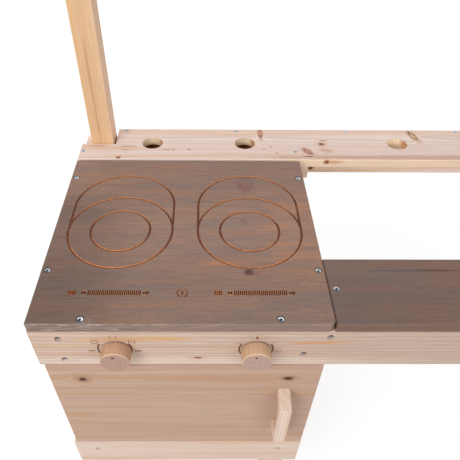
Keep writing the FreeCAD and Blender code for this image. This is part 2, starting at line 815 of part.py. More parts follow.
def ring(name, radius, thickness, x, y):
    """A flat ring round a knob's bolt."""
    disc = rod(f"{name}_disc", radius, thickness, x, y, "places.knob_height", TO_BACK)
    hole = rod(
        f"{name}_hole", "sizes.bolt_radius + sizes.running_fit", f"{thickness} + 2 * sizes.overrun",
        x, f"{y} - sizes.overrun", "places.knob_height", TO_BACK,
    )
    return boolean("Cut", name, disc, hole)


def bore_fascia():
    """Opens the fascia for the two knob bolts."""
    fascia = pieces["front_fascia"]
    for name, x in (("left", "places.first_knob"), ("right", "places.second_knob")):
        hole = rod(
            f"{name}_knob_hole", "sizes.bolt_radius + sizes.running_fit",
            "sizes.board_thickness + 2 * sizes.overrun",
            x, "places.front_face - sizes.overrun", "places.knob_height", TO_BACK,
        )
        fascia = boolean("Cut", f"fascia_bored_{name}", fascia, hole)
    keep(fascia, "front_fascia")


def between(low, high, share):
    """The place at a share of the way from one place to another."""
    return low + (high - low) * share


Screw = namedtuple("Screw", "place way kind length sink")


def frame_screws(spots, way, sink):
    """Long screws from spots on the wood's surface, their heads sunk below it."""
    return [Screw(Vector(*spot), way, "screw", at("screw_length"), at(sink)) for spot in spots]


def fitting_screws(spots, way, length):
    """Small screws from spots on a surface, their heads flush with it."""
    return [Screw(Vector(*spot), way, "fitting_screw", at(length), FLUSH) for spot in spots]


def shares_of(low, high, shares):
    """Places at several shares of the way between two named places."""
    return [between(at(low), at(high), share) for share in shares]


def leg_middles():
    """Middles of the left, middle and right legs across, then of the front and rear legs in depth."""
    spans = (
        ("left_inner", "left_leg_right"),
        ("middle_leg_left", "cooker_inner"),
        ("right_leg_left", "right_inner"),
        ("frame_front", "front_leg_back"),
        ("rear_leg_front", "frame_back"),
    )
    return [between(at(low), at(high), MIDDLE_SHARE) for low, high in spans]


def course_height(index, share):
    """Height at a share of one course of boards."""
    low, high = course(index)
    return between(value(low), value(high), share)


def top_spots():
    """Screws driven down through the hob, the rear board, the plank and the upper shelf."""
    left_leg, _, right_leg, _, rear_leg = leg_middles()
    side_middle = at("side_thickness") / 2
    top = at("worktop_height")
    spots = []
    hob_back = at("front_face") + at("hob_depth")
    for share in HOB_SIDE_SCREW_SHARES:
        y = between(at("front_face"), hob_back, share)
        spots += [(at("left_end") + side_middle, y, top), (at("cooker_right") - side_middle, y, top)]
    for x in shares_of("left_end", "cooker_right", HOB_FRONT_SCREW_SHARES):
        spots.append((x, at("front_face") + at("hob_screw_from_front"), top))
    first_rear = at("left_end") + at("rear_screw_from_end")
    for index in range(REAR_SCREWS):
        x = between(first_rear, -first_rear, index / (REAR_SCREWS - 1))
        spots.append((x, at("back_face") - at("rear_screw_from_back"), top))
    y = between(at("rear_board_front"), at("back_face"), REAR_FRONT_SCREW_SHARE)
    for x in (
        at("left_end") + at("rear_screw_inset"),
        at("cooker_right") - at("rear_screw_cooker_inset"),
        at("right_end") - at("rear_screw_inset"),
    ):
        spots.append((x, y, top))
    y = between(at("front_face"), at("plank_back"), PLANK_SCREW_SHARE)
    over_cleat = at("cooker_right") + at("cleat_width") * PLANK_SCREW_CLEAT_SHARE
    spots += [(x, y, top) for x in (over_cleat, at("right_end") - side_middle)]
    return spots + [(x, rear_leg, at("kitchen_height")) for x in (left_leg, right_leg)]


def front_spots():
    """Screws driven back through the fascia and the rail under the oven door."""
    left_leg, middle_leg, _, _, _ = leg_middles()
    face = at("front_face")
    inset = at("fascia_screw_from_end")
    ends = (at("left_end") + inset, at("right_end") - inset)
    spots = [(x, face, course_height(0, share)) for share in FASCIA_LEG_SCREW_SHARES for x in ends]
    upper_x = at("cooker_right") - at("fascia_screw_inset")
    spots.append((upper_x, face, course_height(0, FASCIA_UPPER_SCREW_SHARE)))
    lower_x = between(at("middle_leg_left"), at("cooker_inner"), FASCIA_LOWER_SCREW_LEG_SHARE)
    spots.append((lower_x, face, course_height(0, FASCIA_LOWER_SCREW_SHARE)))
    low = course_height(COURSES - 1, BACK_SCREW_SHARE)
    return spots + [(x, face, low) for x in (left_leg, middle_leg)]


def back_spots():
    """Screws driven forward through the back boards and the upper rail."""
    left_leg, middle_leg, right_leg, _, _ = leg_middles()
    face = at("back_face")
    spots = [(right_leg, face, course_height(0, BACK_SCREW_SHARE))]
    for index in range(COURSES):
        spots += [(x, face, course_height(index, BACK_SCREW_SHARE)) for x in (left_leg, middle_leg)]
    z = between(at("upper_rail_bottom"), at("post_top"), MIDDLE_SHARE)
    return spots + [(x, face, z) for x in (left_leg, right_leg)]


def side_spots():
    """Screws through the side boards: those driven to the right, then those driven to the left."""
    _, _, _, front_leg, rear_leg = leg_middles()
    lefts = []
    rights = []
    for index in range(COURSES):
        z = course_height(index, SIDE_SCREW_SHARE)
        for y in (front_leg, rear_leg):
            lefts.append((at("left_end"), y, z))
            rights.append((at("cooker_right"), y, z))
            if index in (0, COURSES - 1):
                rights.append((at("right_end"), y, z))
    return lefts, rights


def door_screw_list():
    """Small screws of the door: hinge leaves, battens, catch plate and pull."""
    leaf_x = at("hinge_x") + at("leaf_width") * LEAF_SCREW_ACROSS_SHARE
    leaf_y = at("door_back") + at("leaf_thickness")
    leaves = [(leaf_x, leaf_y, z) for z in leaf_screw_heights()]
    batten_y = at("door_back") + at("batten_thickness")
    batten_low = at("door_bottom") + at("batten_margin")
    batten_high = at("door_top") - at("batten_margin")
    reach = at("batten_margin") + at("batten_width") / 2
    battens = [
        (x, batten_y, between(batten_low, batten_high, share))
        for x in (at("left_leg_right") + reach, at("magnet_left") - reach)
        for share in BATTEN_SCREW_SHARES
    ]
    plate_x = between(at("magnet_left"), at("middle_leg_left"), MIDDLE_SHARE)
    plate_y = at("door_back") + at("plate_thickness")
    plates = [(plate_x, plate_y, z) for z in shares_of("magnet_bottom", "magnet_top", CATCH_SCREW_SHARES)]
    handle_x = at("door_right") - at("handle_from_edge") - at("handle_width") / 2
    handle_z = between(at("door_bottom"), at("door_top"), MIDDLE_SHARE)
    foot = (at("handle_length") - at("handle_foot")) / 2
    feet = [(handle_x, at("door_back"), handle_z + side * foot) for side in (-1, 1)]
    return (
        fitting_screws(leaves + plates, FORWARD, "leaf_screw_length")
        + fitting_screws(battens, FORWARD, "batten_screw_length")
        + fitting_screws(feet, FORWARD, "handle_screw_length")
    )


def leaf_screw_heights():
    """Heights of the screws in both hinges."""
    return [
        at(low) + at("leaf_height") * share
        for low in ("lower_hinge", "upper_hinge")
        for share in LEAF_SCREW_SHARES
    ]


def fitting_screw_list():
    """Small screws of the frame: hinge leaves, catch magnet, oven floor and cleats."""
    leaf_x = at("hinge_x") + at("leaf_width") * LEAF_SCREW_ACROSS_SHARE
    leaves = [(leaf_x, at("frame_front") - at("leaf_thickness"), z) for z in leaf_screw_heights()]
    magnet_y = at("magnet_front") + at("magnet_depth") / 2
    heights = shares_of("magnet_bottom", "magnet_top", CATCH_SCREW_SHARES)
    magnets = [(at("magnet_left"), magnet_y, z) for z in heights]
    slats = []
    inset = at("slat_screw_inset")
    for index in range(FLOOR_SLATS):
        start = at("frame_front") + at("fitting_gap") + index * at("slat_pitch")
        middle = start + (at("slat_pitch") - at("floor_slat_gap")) / 2
        y = min(max(middle, at("front_leg_back") + inset), at("rear_leg_front") - inset)
        for x in (at("left_inner") + at("cleat_width") / 2, at("cooker_inner") - at("cleat_width") / 2):
            slats.append((x, y, at("low_rail_top")))
    cleat_x = at("cooker_right") + at("cleat_width")
    cleat_z = between(at("cleat_bottom"), at("frame_top"), MIDDLE_SHARE)
    cleats = [
        (cleat_x, y, cleat_z)
        for low, high in (("frame_front", "plank_back"), ("rear_board_front", "frame_back"))
        for y in shares_of(low, high, CLEAT_SCREW_SHARES)
    ]
    return (
        fitting_screws(leaves, BACKWARD, "leaf_screw_length")
        + fitting_screws(magnets, RIGHTWARD, "magnet_screw_length")
        + fitting_screws(slats, DOWN, "slat_screw_length")
        + fitting_screws(cleats, LEFTWARD, "cleat_screw_length")
    )


def list_screws():
    """Every screw, by group."""
    lefts, rights = side_spots()
    return {
        "top_screws": frame_screws(top_spots(), DOWN, "top_screw_sink"),
        "front_screws": frame_screws(front_spots(), BACKWARD, "side_screw_sink"),
        "back_screws": frame_screws(back_spots(), FORWARD, "side_screw_sink"),
        "side_screws": frame_screws(lefts, RIGHTWARD, "side_screw_sink")
        + frame_screws(rights, LEFTWARD, "side_screw_sink"),
        "door_screws": door_screw_list(),
        "fitting_screws": fitting_screw_list(),
    }


def screw_shape(screw, fit):
    """A countersunk screw along -Z under a surface at zero, larger all round by a fit."""
    head = at(f"{screw.kind}_head_radius") + fit
    shank = at(f"{screw.kind}_shank_radius") + fit
    top = -screw.sink
    neck = top - at(f"{screw.kind}_head_depth")
    tip = top - screw.length - fit
    corners = [(0, top), (head, top), (shank, neck), (shank, tip), (0, tip), (0, top)]
    profile = Part.makePolygon([Vector(x, 0, z) for x, z in corners])
    return Part.Face(profile).revolve(Vector(0, 0, 0), Vector(0, 0, 1), 360)


def drill_shape(screw):
    """The hole for a screw: its own form with a little room, under a straight bore if it is sunk."""
    form = screw_shape(screw, at("screw_fit"))
    if screw.sink == FLUSH:
        return form
    bore = Part.makeCylinder(at("screw_bore_radius"), screw.sink, Vector(0, 0, 0), DOWN)
    return bore.fuse(form)


def placed(shape, screw):
    """A shape moved to a screw's spot and turned to the way the screw is driven."""
    shape.Placement = FreeCAD.Placement(screw.place, Rotation(DOWN, screw.way))
    return shape


def drive_screws():
    """Drills every piece that a screw passes through and adds the screws, group by group."""
    screws = list_screws()
    drills = [placed(drill_shape(screw), screw) for members in screws.values() for screw in members]
    for label, piece in list(pieces.items()):
        box = piece.Shape.BoundBox
        cutters = [
            tool for tool in drills
            if box.intersect(tool.BoundBox) and piece.Shape.common(tool).Volume > 0
        ]
        if not cutters:
            continue
        tool = doc.addObject("Part::Feature", f"{label}_drills")
        tool.Shape = Part.makeCompound(cutters)
        keep(boolean("Cut", f"{label}_drilled", piece, tool), label)
    for label, members in screws.items():
        group(label, [placed(screw_shape(screw, EXACT), screw) for screw in members])


def check_document():
    """Stops if any object failed or any piece has no sound shape."""
    for obj in doc.Objects:
        if {"Invalid", "Error"} & set(obj.State):
            raise RuntimeError(f"{obj.Name} failed: {obj.State}")
    for label, piece in pieces.items():
        if piece.Shape.isNull() or not piece.Shape.isValid() or not piece.Shape.Solids:
            raise RuntimeError(f"{label} has no sound solid")


def write_pieces():
    """Writes each piece to its own file."""
    os.makedirs("parts", exist_ok=True)
    for label, piece in pieces.items():
        piece.Shape.exportStep(f"parts/{label}.step")


build_hob()
build_worktop()
build_rear_board()
build_frame()
build_oven_floor()
build_door()
build_hinges()
build_knobs()
bore_fascia()
drive_screws()
doc.recompute()
check_document()
write_pieces()
print(f"{len(pieces)} pieces")
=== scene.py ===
"""Looks of a child's mud kitchen: planed fir boards, a stained hob, turned knobs and zinc screws.

Every length is in metres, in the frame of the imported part: +X to the right as the child faces it,
+Y away from the child, +Z up from the floor.
"""

import json
import logging
import math
import zlib
from dataclasses import dataclass, field, replace
from enum import Enum
from itertools import product
from typing import Iterable, Sequence, Union

import bpy
import numpy as np
from mathutils import Matrix, Vector


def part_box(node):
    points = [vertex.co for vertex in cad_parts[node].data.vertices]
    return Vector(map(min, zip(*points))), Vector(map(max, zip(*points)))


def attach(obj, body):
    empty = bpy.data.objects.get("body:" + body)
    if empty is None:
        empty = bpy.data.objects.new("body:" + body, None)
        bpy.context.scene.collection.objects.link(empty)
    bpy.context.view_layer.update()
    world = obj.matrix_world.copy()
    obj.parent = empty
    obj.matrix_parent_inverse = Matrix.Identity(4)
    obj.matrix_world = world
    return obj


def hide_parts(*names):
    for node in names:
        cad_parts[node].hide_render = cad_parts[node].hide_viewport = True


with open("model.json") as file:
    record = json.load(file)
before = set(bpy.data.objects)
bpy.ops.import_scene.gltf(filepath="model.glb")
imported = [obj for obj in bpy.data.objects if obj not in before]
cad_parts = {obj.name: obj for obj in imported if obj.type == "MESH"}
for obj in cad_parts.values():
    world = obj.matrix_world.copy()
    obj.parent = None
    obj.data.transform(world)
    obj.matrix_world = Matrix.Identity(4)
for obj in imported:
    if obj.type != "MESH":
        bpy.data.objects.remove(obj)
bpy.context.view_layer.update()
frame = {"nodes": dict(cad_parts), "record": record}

LOG = logging.getLogger("mud_kitchen")

Pair = tuple[float, float]
Place = tuple[float, float, float]
Size = tuple[float, float, float]
Span = tuple[float, float, float]
Colour = tuple[float, float, float]
Form = tuple[np.ndarray, list[list[int]]]

# Faces of the boards that knots and marks lie on.
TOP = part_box("hob_board")[1].z
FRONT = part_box("front_fascia")[0].y
REAR_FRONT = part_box("rear_board")[0].y
APRON_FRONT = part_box("back_apron")[0].y

# Left ends of the two rows of touch controls.
CONTROL_STARTS: Pair = (-0.4562, -0.2592)

# Right and left side of a ring, in degrees.
RING_SIDES: Pair = (0.0, 180.0)


def srgb(red: int, green: int, blue: int) -> Colour:
    """A colour as a screen shows it, from 0 to 255, turned into linear light.

    Args:
        red, green, blue: the three shares of the colour.

    Returns:
        The linear colour that shaders take.
    """
    shares = np.array([red, green, blue]) / 255.0
    linear = np.where(shares <= 0.04045, shares / 12.92, ((shares + 0.055) / 1.055) ** 2.4)
    return tuple(float(share) for share in linear)


class Body(Enum):
    """The bodies of the frame that new pieces ride on."""

    KITCHEN = "kitchen"
    DOOR = "door"


class Slot(Enum):
    """The record's material slots that the looks ask for."""

    PLANED_FIR = "planed_fir"
    HONEY_FIR = "honey_fir"
    STAINED_FIR = "stained_fir"
    ZINC = "zinc_screw"


class Signal:
    """A number that varies over a surface, with the sums that the finishes need."""

    def __init__(self, graph: "Graph", socket: bpy.types.NodeSocket) -> None:
        """Keeps the graph that the number lives in and the socket that gives it."""
        self.graph = graph
        self.socket = socket

    def __add__(self, other: "Number") -> "Signal":
        """The sum with another number."""
        return self.graph.math("ADD", self, other)

    def __sub__(self, other: "Number") -> "Signal":
        """This number less another."""
        return self.graph.math("SUBTRACT", self, other)

    def __rsub__(self, other: "Number") -> "Signal":
        """Another number less this one."""
        return self.graph.math("SUBTRACT", other, self)

    def __mul__(self, other: "Number") -> "Signal":
        """The product with another number."""
        return self.graph.math("MULTIPLY", self, other)

    def __truediv__(self, other: "Number") -> "Signal":
        """This number over another."""
        return self.graph.math("DIVIDE", self, other)

    def root(self) -> "Signal":
        """The square root."""
        return self.graph.math("SQRT", self)

    def fract(self) -> "Signal":
        """What is left after the whole number."""
        return self.graph.math("FRACT", self)

    def size(self) -> "Signal":
        """The number without its sign."""
        return self.graph.math("ABSOLUTE", self)

    def apart(self, other: "Signal") -> "Signal":
        """Length of this number and another laid at right angles."""
        return (self * self + other * other).root()

    def most(self, other: "Number") -> "Signal":
        """The larger of two numbers."""
        return self.graph.math("MAXIMUM", self, other)

    def least(self, other: "Number") -> "Signal":
        """The smaller of two numbers."""
        return self.graph.math("MINIMUM", self, other)

    def smooth(self, low: float, high: float, first: float = 0.0, last: float = 1.0) -> "Signal":
        """Eases from one value to another while this number goes from low to high.

        Args:
            low: where the step starts; above high for a step that falls.
            high: where the step ends.
            first: value before the step.
            last: value after the step.

        Returns:
            The stepped number.
        """
        if low > high:
            low, high, first, last = high, low, last, first
        node = self.graph.nodes.new("ShaderNodeMapRange")
        node.interpolation_type = "SMOOTHSTEP"
        for socket, value in zip(node.inputs, (self, low, high, first, last)):
            self.graph.feed(socket, value)
        return Signal(self.graph, node.outputs[0])

    def within(self, low: float, high: float, edge: float) -> "Signal":
        """One between two values and zero outside, with soft edges."""
        return self.smooth(low - edge, low + edge) * self.smooth(high + edge, high - edge)


Number = Union[float, Signal]
Paint = Union[Colour, bpy.types.NodeSocket]
Painted = tuple[bpy.types.NodeSocket, Signal, Signal]


class Graph:
    """The nodes of one material, added and linked by short calls."""

    def __init__(self, name: str) -> None:
        """Starts a material with a bare principled shader.

        Args:
            name: the material's name.
        """
        self.material = bpy.data.materials.new(name)
        self.material.use_nodes = True
        self.nodes = self.material.node_tree.nodes
        self.links = self.material.node_tree.links
        self.shader = self.nodes["Principled BSDF"]
        self.coordinates = self.nodes.new("ShaderNodeTexCoord")

    def feed(self, socket: bpy.types.NodeSocket, value: object) -> None:
        """Links a signal or socket to an input, or sets the input to a plain value.

        Args:
            socket: the input.
            value: a signal, a socket, a colour or a number.
        """
        if isinstance(value, Signal):
            self.links.new(value.socket, socket)
        elif isinstance(value, bpy.types.NodeSocket):
            self.links.new(value, socket)
        elif isinstance(value, tuple) and len(value) < len(socket.default_value):
            socket.default_value = (*value, 1.0)
        else:
            socket.default_value = value

    def math(self, operation: str, *values: Number) -> Signal:
        """One sum over signals and plain numbers.

        Args:
            operation: what the math node does.
            values: what it works on.

        Returns:
            The result.
        """
        node = self.nodes.new("ShaderNodeMath")
        node.operation = operation
        for socket, value in zip(node.inputs, values):
            self.feed(socket, value)
        return Signal(self, node.outputs[0])

    def parts(self, output: str) -> list[Signal]:
        """The three components of the object's coordinates or of its normal.

        Args:
            output: Object or Normal.

        Returns:
            The components along x, y and z.
        """
        node = self.nodes.new("ShaderNodeSeparateXYZ")
        self.links.new(self.coordinates.outputs[output], node.inputs[0])
        return [Signal(self, socket) for socket in node.outputs]

    def attribute(self, name: str) -> Signal:
        """A number that the mesh itself carries.

        Args:
            name: the attribute's name.

        Returns:
            Its value over the surface.
        """
        node = self.nodes.new("ShaderNodeAttribute")
        node.attribute_name = name
        return Signal(self, node.outputs["Fac"])

    def cloud(self, point: Sequence[Signal], size: Size, detail: float = 2.0, rough: float = 0.5) -> Signal:
        """Cloudy noise about one half.

        Args:
            point: where to read it, three coordinates.
            size: length of one cloud along each coordinate.
            detail: how many finer layers it has.
            rough: share of each finer layer.

        Returns:
            The noise.
        """
        vector = self.nodes.new("ShaderNodeCombineXYZ")
        for socket, signal, length in zip(vector.inputs, point, size):
            self.feed(socket, signal / length)
        node = self.nodes.new("ShaderNodeTexNoise")
        self.links.new(vector.outputs[0], node.inputs["Vector"])
        for name, value in (("Scale", 1.0), ("Detail", detail), ("Roughness", rough)):
            node.inputs[name].default_value = value
        return Signal(self, node.outputs[0])

    def swing(self, point: Sequence[Signal], size: Size, detail: float = 2.0) -> Signal:
        """The same noise about zero."""
        return self.cloud(point, size, detail) - 0.5

    def mix(self, share: Number, first: Paint, second: Paint, blend: str = "MIX") -> bpy.types.NodeSocket:
        """A share of the second colour laid over the first.

        Args:
            share: from 0 to 1.
            first, second: the colours.
            blend: how they are laid over each other.

        Returns:
            The mixed colour.
        """
        node = self.nodes.new("ShaderNodeMix")
        node.data_type = "RGBA"
        node.blend_type = blend
        for index, value in ((0, share), (6, first), (7, second)):
            self.feed(node.inputs[index], value)
        return node.outputs[2]

    def shade(self, colour: Paint, level: Signal) -> bpy.types.NodeSocket:
        """A colour made lighter or darker by a signal about one."""
        return self.mix(1.0, colour, level.socket, "MULTIPLY")

    def relief(self, height: Signal, depth: float, strength: float) -> None:
        """Gives the surface a fine relief.

        Args:
            height: the relief, from 0 to 1.
            depth: how deep it is.
            strength: how much of it shows.
        """
        bump = self.nodes.new("ShaderNodeBump")
        bump.inputs["Strength"].default_value = strength
        bump.inputs["Distance"].default_value = depth
        self.links.new(height.socket, bump.inputs["Height"])
        self.links.new(bump.outputs["Normal"], self.shader.inputs["Normal"])

    def dress(self, **inputs: object) -> bpy.types.Material:
        """Sets the shader's inputs.

        Args:
            inputs: values by the input's name, with underscores for spaces.

        Returns:
            The finished material.
        """
        for name, value in inputs.items():
            self.feed(self.shader.inputs[name.replace("_", " ")], value)
        return self.material


@dataclass(frozen=True)
class Knot:
    """A knot or streak in the wood, and in a few places a patch of painted light and shade: a blot with a
    soft edge, longer along the grain or across it.

    Its halo, core and rim start and end at multiples of its half sizes.
    """

    place: Place
    along: float
    across: float
    core: Colour = srgb(140, 88, 58)
    rim: Colour = srgb(98, 58, 36)
    halo: Colour = srgb(204, 160, 128)
    strength: float = 0.85
    spread: float = 2.4
    lean: float = 0.0
    deep: float = 0.03
    ragged: float = 1.0
    swirl: float = 0.9
    swirl_reach: float = 3.0
    halo_end: float = 0.9
    halo_share: float = 0.55
    core_step: Pair = (1.25, 0.65)
    rim_rise: Pair = (0.4, 0.9)
    rim_fall: Pair = (1.4, 0.95)
    break_step: Pair = (-0.15, 0.12)
    break_shares: Pair = (0.25, 0.9)
    streak_stretch: float = 5.0

    @property
    def drawn_out(self) -> bool:
        """Whether it is a streak along the grain."""
        return self.along > self.streak_stretch * self.across


def fleck(place: Place, along: float, across: float, colour: Colour, **more: object) -> Knot:
    """A knot of one colour, with the rings bent round it."""
    return Knot(place, along, across, core=colour, rim=colour, **more)


def streak(place: Place, along: float, across: float, colour: Colour, **more: object) -> Knot:
    """A blot of one colour that leaves the rings straight."""
    return fleck(place, along, across, colour, swirl=0.0, **more)


@dataclass(frozen=True)
class Growth:
    """What chance may choose as a board grows."""

    heart_aside: Pair = (0.02, 0.13)
    heart_inward: Pair = (0.03, 0.1)
    tilt_spread: float = 0.006
    knots_a_metre: float = 1.4
    along_share: float = 0.46
    across_share: float = 0.4
    knot_radius: Pair = (0.002, 0.005)
    knot_stretch: Pair = (1.0, 1.6)
    tone_spread: float = 0.02
    tint_spread: float = 0.008
    last_seed: float = 50.0


GROWTH = Growth()


@dataclass(frozen=True)
class Board:
    """How a board or post grew: which way its grain runs, and where the tree's heart lay."""

    node: str
    axes: tuple[int, int, int]
    centre: Place
    heart: Pair
    tilt: Pair
    seed: float
    tone: Colour = (1.0, 1.0, 1.0)
    knots: tuple[Knot, ...] = ()

    @classmethod
    def of(cls, node: str, knots: Sequence[Knot] = (), wild: float = 0.0) -> "Board":
        """Reads a board from the frame. Its grain follows its longest side.

        Args:
            node: the CAD node.
            knots: knots that are known, besides the ones that chance adds.
            wild: how many knots chance adds to a metre of board.

        Returns:
            The board, the same at each run.
        """
        low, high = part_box(node)
        sides = np.array(high - low)
        order = tuple(int(axis) for axis in np.argsort(-sides, kind="stable"))
        length, width, _ = sides[list(order)]
        chance = np.random.default_rng(zlib.crc32(node.encode()))
        heart = tuple(
            float(chance.choice((-1, 1)) * chance.uniform(*reach))
            for reach in (GROWTH.heart_aside, GROWTH.heart_inward)
        )
        tilt = tuple(float(lean) for lean in chance.normal(0.0, GROWTH.tilt_spread, 2))
        middle = np.array(low + high) / 2
        found = list(knots)
        for _ in range(chance.poisson(wild * length)):
            spot = middle.copy()
            spot[order[0]] += chance.uniform(-GROWTH.along_share, GROWTH.along_share) * length
            spot[order[1]] += chance.uniform(-GROWTH.across_share, GROWTH.across_share) * width
            radius = float(chance.uniform(*GROWTH.knot_radius))
            found.append(Knot(tuple(spot), radius * float(chance.uniform(*GROWTH.knot_stretch)), radius))
        level = chance.normal(1.0, GROWTH.tone_spread)
        tone = tuple(float(share) for share in level * chance.normal(1.0, GROWTH.tint_spread, 3))
        seed = float(chance.uniform(0, GROWTH.last_seed))
        return cls(node, order, tuple(middle), heart, tilt, seed, tone, tuple(found))


@dataclass(frozen=True)
class Wood:
    """A finish of solid wood: year rings about the tree's heart, fibres, tone bands and knots.

    A size is the length of one cloud of noise: across the board, through it and along it. For the tone
    bands it is across the rings, across the board and along it. A step is where a noise starts to count
    and where it counts in full.
    """

    name: str
    early: Colour
    late: Colour
    blush: Colour
    honey: Colour
    ring: float = 0.0046
    contrast: float = 0.45
    late_rise: Pair = (0.15, 0.9)
    late_fall: Pair = (1.0, 0.92)
    sway_size: Size = (0.11, 0.11, 0.6)
    sway_reach: float = 0.016
    ripple_size: Size = (0.02, 0.02, 0.2)
    ripple_reach: float = 0.002
    blush_size: Size = (0.014, 0.2, 0.7)
    blush_step: Pair = (0.42, 0.66)
    blush_share: float = 0.75
    honey_size: Size = (0.011, 0.2, 0.45)
    honey_shift: float = 1.4
    honey_step: Pair = (0.5, 0.7)
    honey_share: float = 0.7
    streak_size: Size = (0.0022, 0.0022, 0.24)
    streak_step: Pair = (0.64, 0.8)
    streak_share: float = 0.4
    fibre_size: Size = (0.0011, 0.0011, 0.05)
    fibre_step: Pair = (0.2, 0.8)
    fibre_reach: Pair = (0.9, 1.06)
    flutter_size: Size = (0.0032, 0.0032, 0.0045)
    drawn_size: Size = (0.0015, 0.0015, 0.05)
    drawn_reach: float = 3.0
    uneven_shares: Pair = (0.6, 1.5)
    end_step: Pair = (0.6, 0.9)
    end_shade: float = 0.9
    roughness: Pair = (0.52, 0.68)
    specular: float = 0.3
    relief: float = 0.0002
    relief_strength: float = 0.3
    late_height_share: float = 0.5

    def grain(self, graph: Graph, board: Board) -> Painted:
        """Paints the wood of one board.

        The rings are the distance from a leaning heart line, swayed by slow noise, cut into saw teeth.
        Fibres, tone bands and dark streaks are noise drawn out along the grain. Knots lie on top.

        Args:
            graph: the material's nodes.
            board: how the board grew.

        Returns:
            The colour, the share of late wood and the fibre noise.
        """
        point = graph.parts("Object")
        along, across, deep = (point[axis] - board.centre[axis] for axis in board.axes)
        far = along + board.seed
        spot = (across, deep, far)
        sway = graph.swing(spot, self.sway_size)
        ripple = graph.swing(spot, self.ripple_size)
        flutter = graph.swing(spot, self.flutter_size)
        fibre = graph.cloud(spot, self.fibre_size, detail=3.0, rough=0.6)
        drawn = graph.swing(spot, self.drawn_size, detail=3.0) * self.drawn_reach
        uneven = ripple * self.uneven_shares[0] + flutter * self.uneven_shares[1]
        sideways = across - board.heart[0] - along * board.tilt[0]
        inward = deep - board.heart[1] - along * board.tilt[1]
        radius = sideways.apart(inward) + sway * self.sway_reach + ripple * self.ripple_reach
        reaches = [
            self.reach(board, knot, (along, across, deep), drawn if knot.drawn_out else uneven)
            for knot in board.knots
        ]
        for knot, reach in zip(board.knots, reaches):
            if knot.swirl:
                pull = knot.swirl * min(knot.across, knot.along)
                radius = radius + reach.smooth(knot.swirl_reach, 0.0, 0.0, pull)
        ring = (radius / self.ring).fract()
        late = ring.smooth(*self.late_rise) * ring.smooth(*self.late_fall)
        blush = graph.cloud((radius, across, far), self.blush_size, detail=1.0)
        honey = graph.cloud((radius, across + self.honey_shift, far), self.honey_size, detail=1.0)
        dark = graph.cloud(spot, self.streak_size, detail=1.0)

        colour = graph.mix(late * self.contrast, self.early, self.late)
        colour = graph.mix(blush.smooth(*self.blush_step) * self.blush_share, colour, self.blush)
        colour = graph.mix(honey.smooth(*self.honey_step) * self.honey_share, colour, self.honey)
        colour = graph.mix(dark.smooth(*self.streak_step) * self.streak_share, colour, self.late)
        colour = graph.mix(1.0, colour, board.tone, "MULTIPLY")
        for knot, reach in zip(board.knots, reaches):
            colour = self.blot(graph, colour, knot, reach, flutter)
        colour = graph.shade(colour, fibre.smooth(*self.fibre_step, *self.fibre_reach))
        end = graph.parts("Normal")[board.axes[0]].size()
        return graph.shade(colour, end.smooth(*self.end_step, 1.0, self.end_shade)), late, fibre

    def reach(self, board: Board, knot: Knot, point: Sequence[Signal], uneven: Signal) -> Signal:
        """Distance from a knot in the knot's own half sizes, with an uneven edge.

        Args:
            board: the board that the knot is in.
            knot: the knot.
            point: where to read it: along, across and through the board.
            uneven: noise that is added to the distance.

        Returns:
            The distance, 1 at the knot's edge.
        """
        start = [knot.place[axis] - board.centre[axis] for axis in board.axes]
        along, across, deep = (signal - offset for signal, offset in zip(point, start))
        along = (along - across * knot.lean) / knot.along
        across = across / knot.across
        deep = deep / knot.deep
        return (along * along + across * across + deep * deep).root() + uneven * knot.ragged

    def blot(
        self, graph: Graph, colour: Paint, knot: Knot, reach: Signal, flutter: Signal
    ) -> bpy.types.NodeSocket:
        """Lays a knot over the wood: a soft halo, the core and a darker, broken rim.

        Args:
            graph: the material's nodes.
            colour: the wood's colour.
            knot: the knot.
            reach: distance from it, 1 at its edge.
            flutter: fine noise that breaks its rim.

        Returns:
            The colour with the knot.
        """
        halo = reach.smooth(knot.spread, knot.halo_end) * (knot.halo_share * knot.strength)
        core = reach.smooth(*knot.core_step) * knot.strength
        faint, full = knot.break_shares
        broken = flutter.smooth(*knot.break_step, faint, full * knot.strength)
        rim = reach.smooth(*knot.rim_rise) * reach.smooth(*knot.rim_fall) * broken
        colour = graph.mix(halo, colour, knot.halo)
        colour = graph.mix(core, colour, knot.core)
        return graph.mix(rim, colour, knot.rim)

    def paint(self, graph: Graph, board: Board) -> Painted:
        """Paints one board, here with bare wood alone."""
        return self.grain(graph, board)

    def material(self, board: Board) -> bpy.types.Material:
        """The finished material for one board."""
        graph = Graph(f"{self.name}.{board.node}")
        return self.polish(graph, *self.paint(graph, board))

    def polish(self, graph: Graph, colour: Paint, late: Signal, fibre: Signal) -> bpy.types.Material:
        """Joins the painted wood to the shader, with its gloss and its fine relief.

        Args:
            graph: the material's nodes.
            colour: the painted wood.
            late: share of late wood, which stands a little proud.
            fibre: the fibre noise.

        Returns:
            The finished material.
        """
        graph.relief(late * self.late_height_share + fibre, self.relief, self.relief_strength)
        rough = fibre.smooth(*self.fibre_step, *self.roughness)
        return graph.dress(Base_Color=colour, Roughness=rough, Specular_IOR_Level=self.specular)


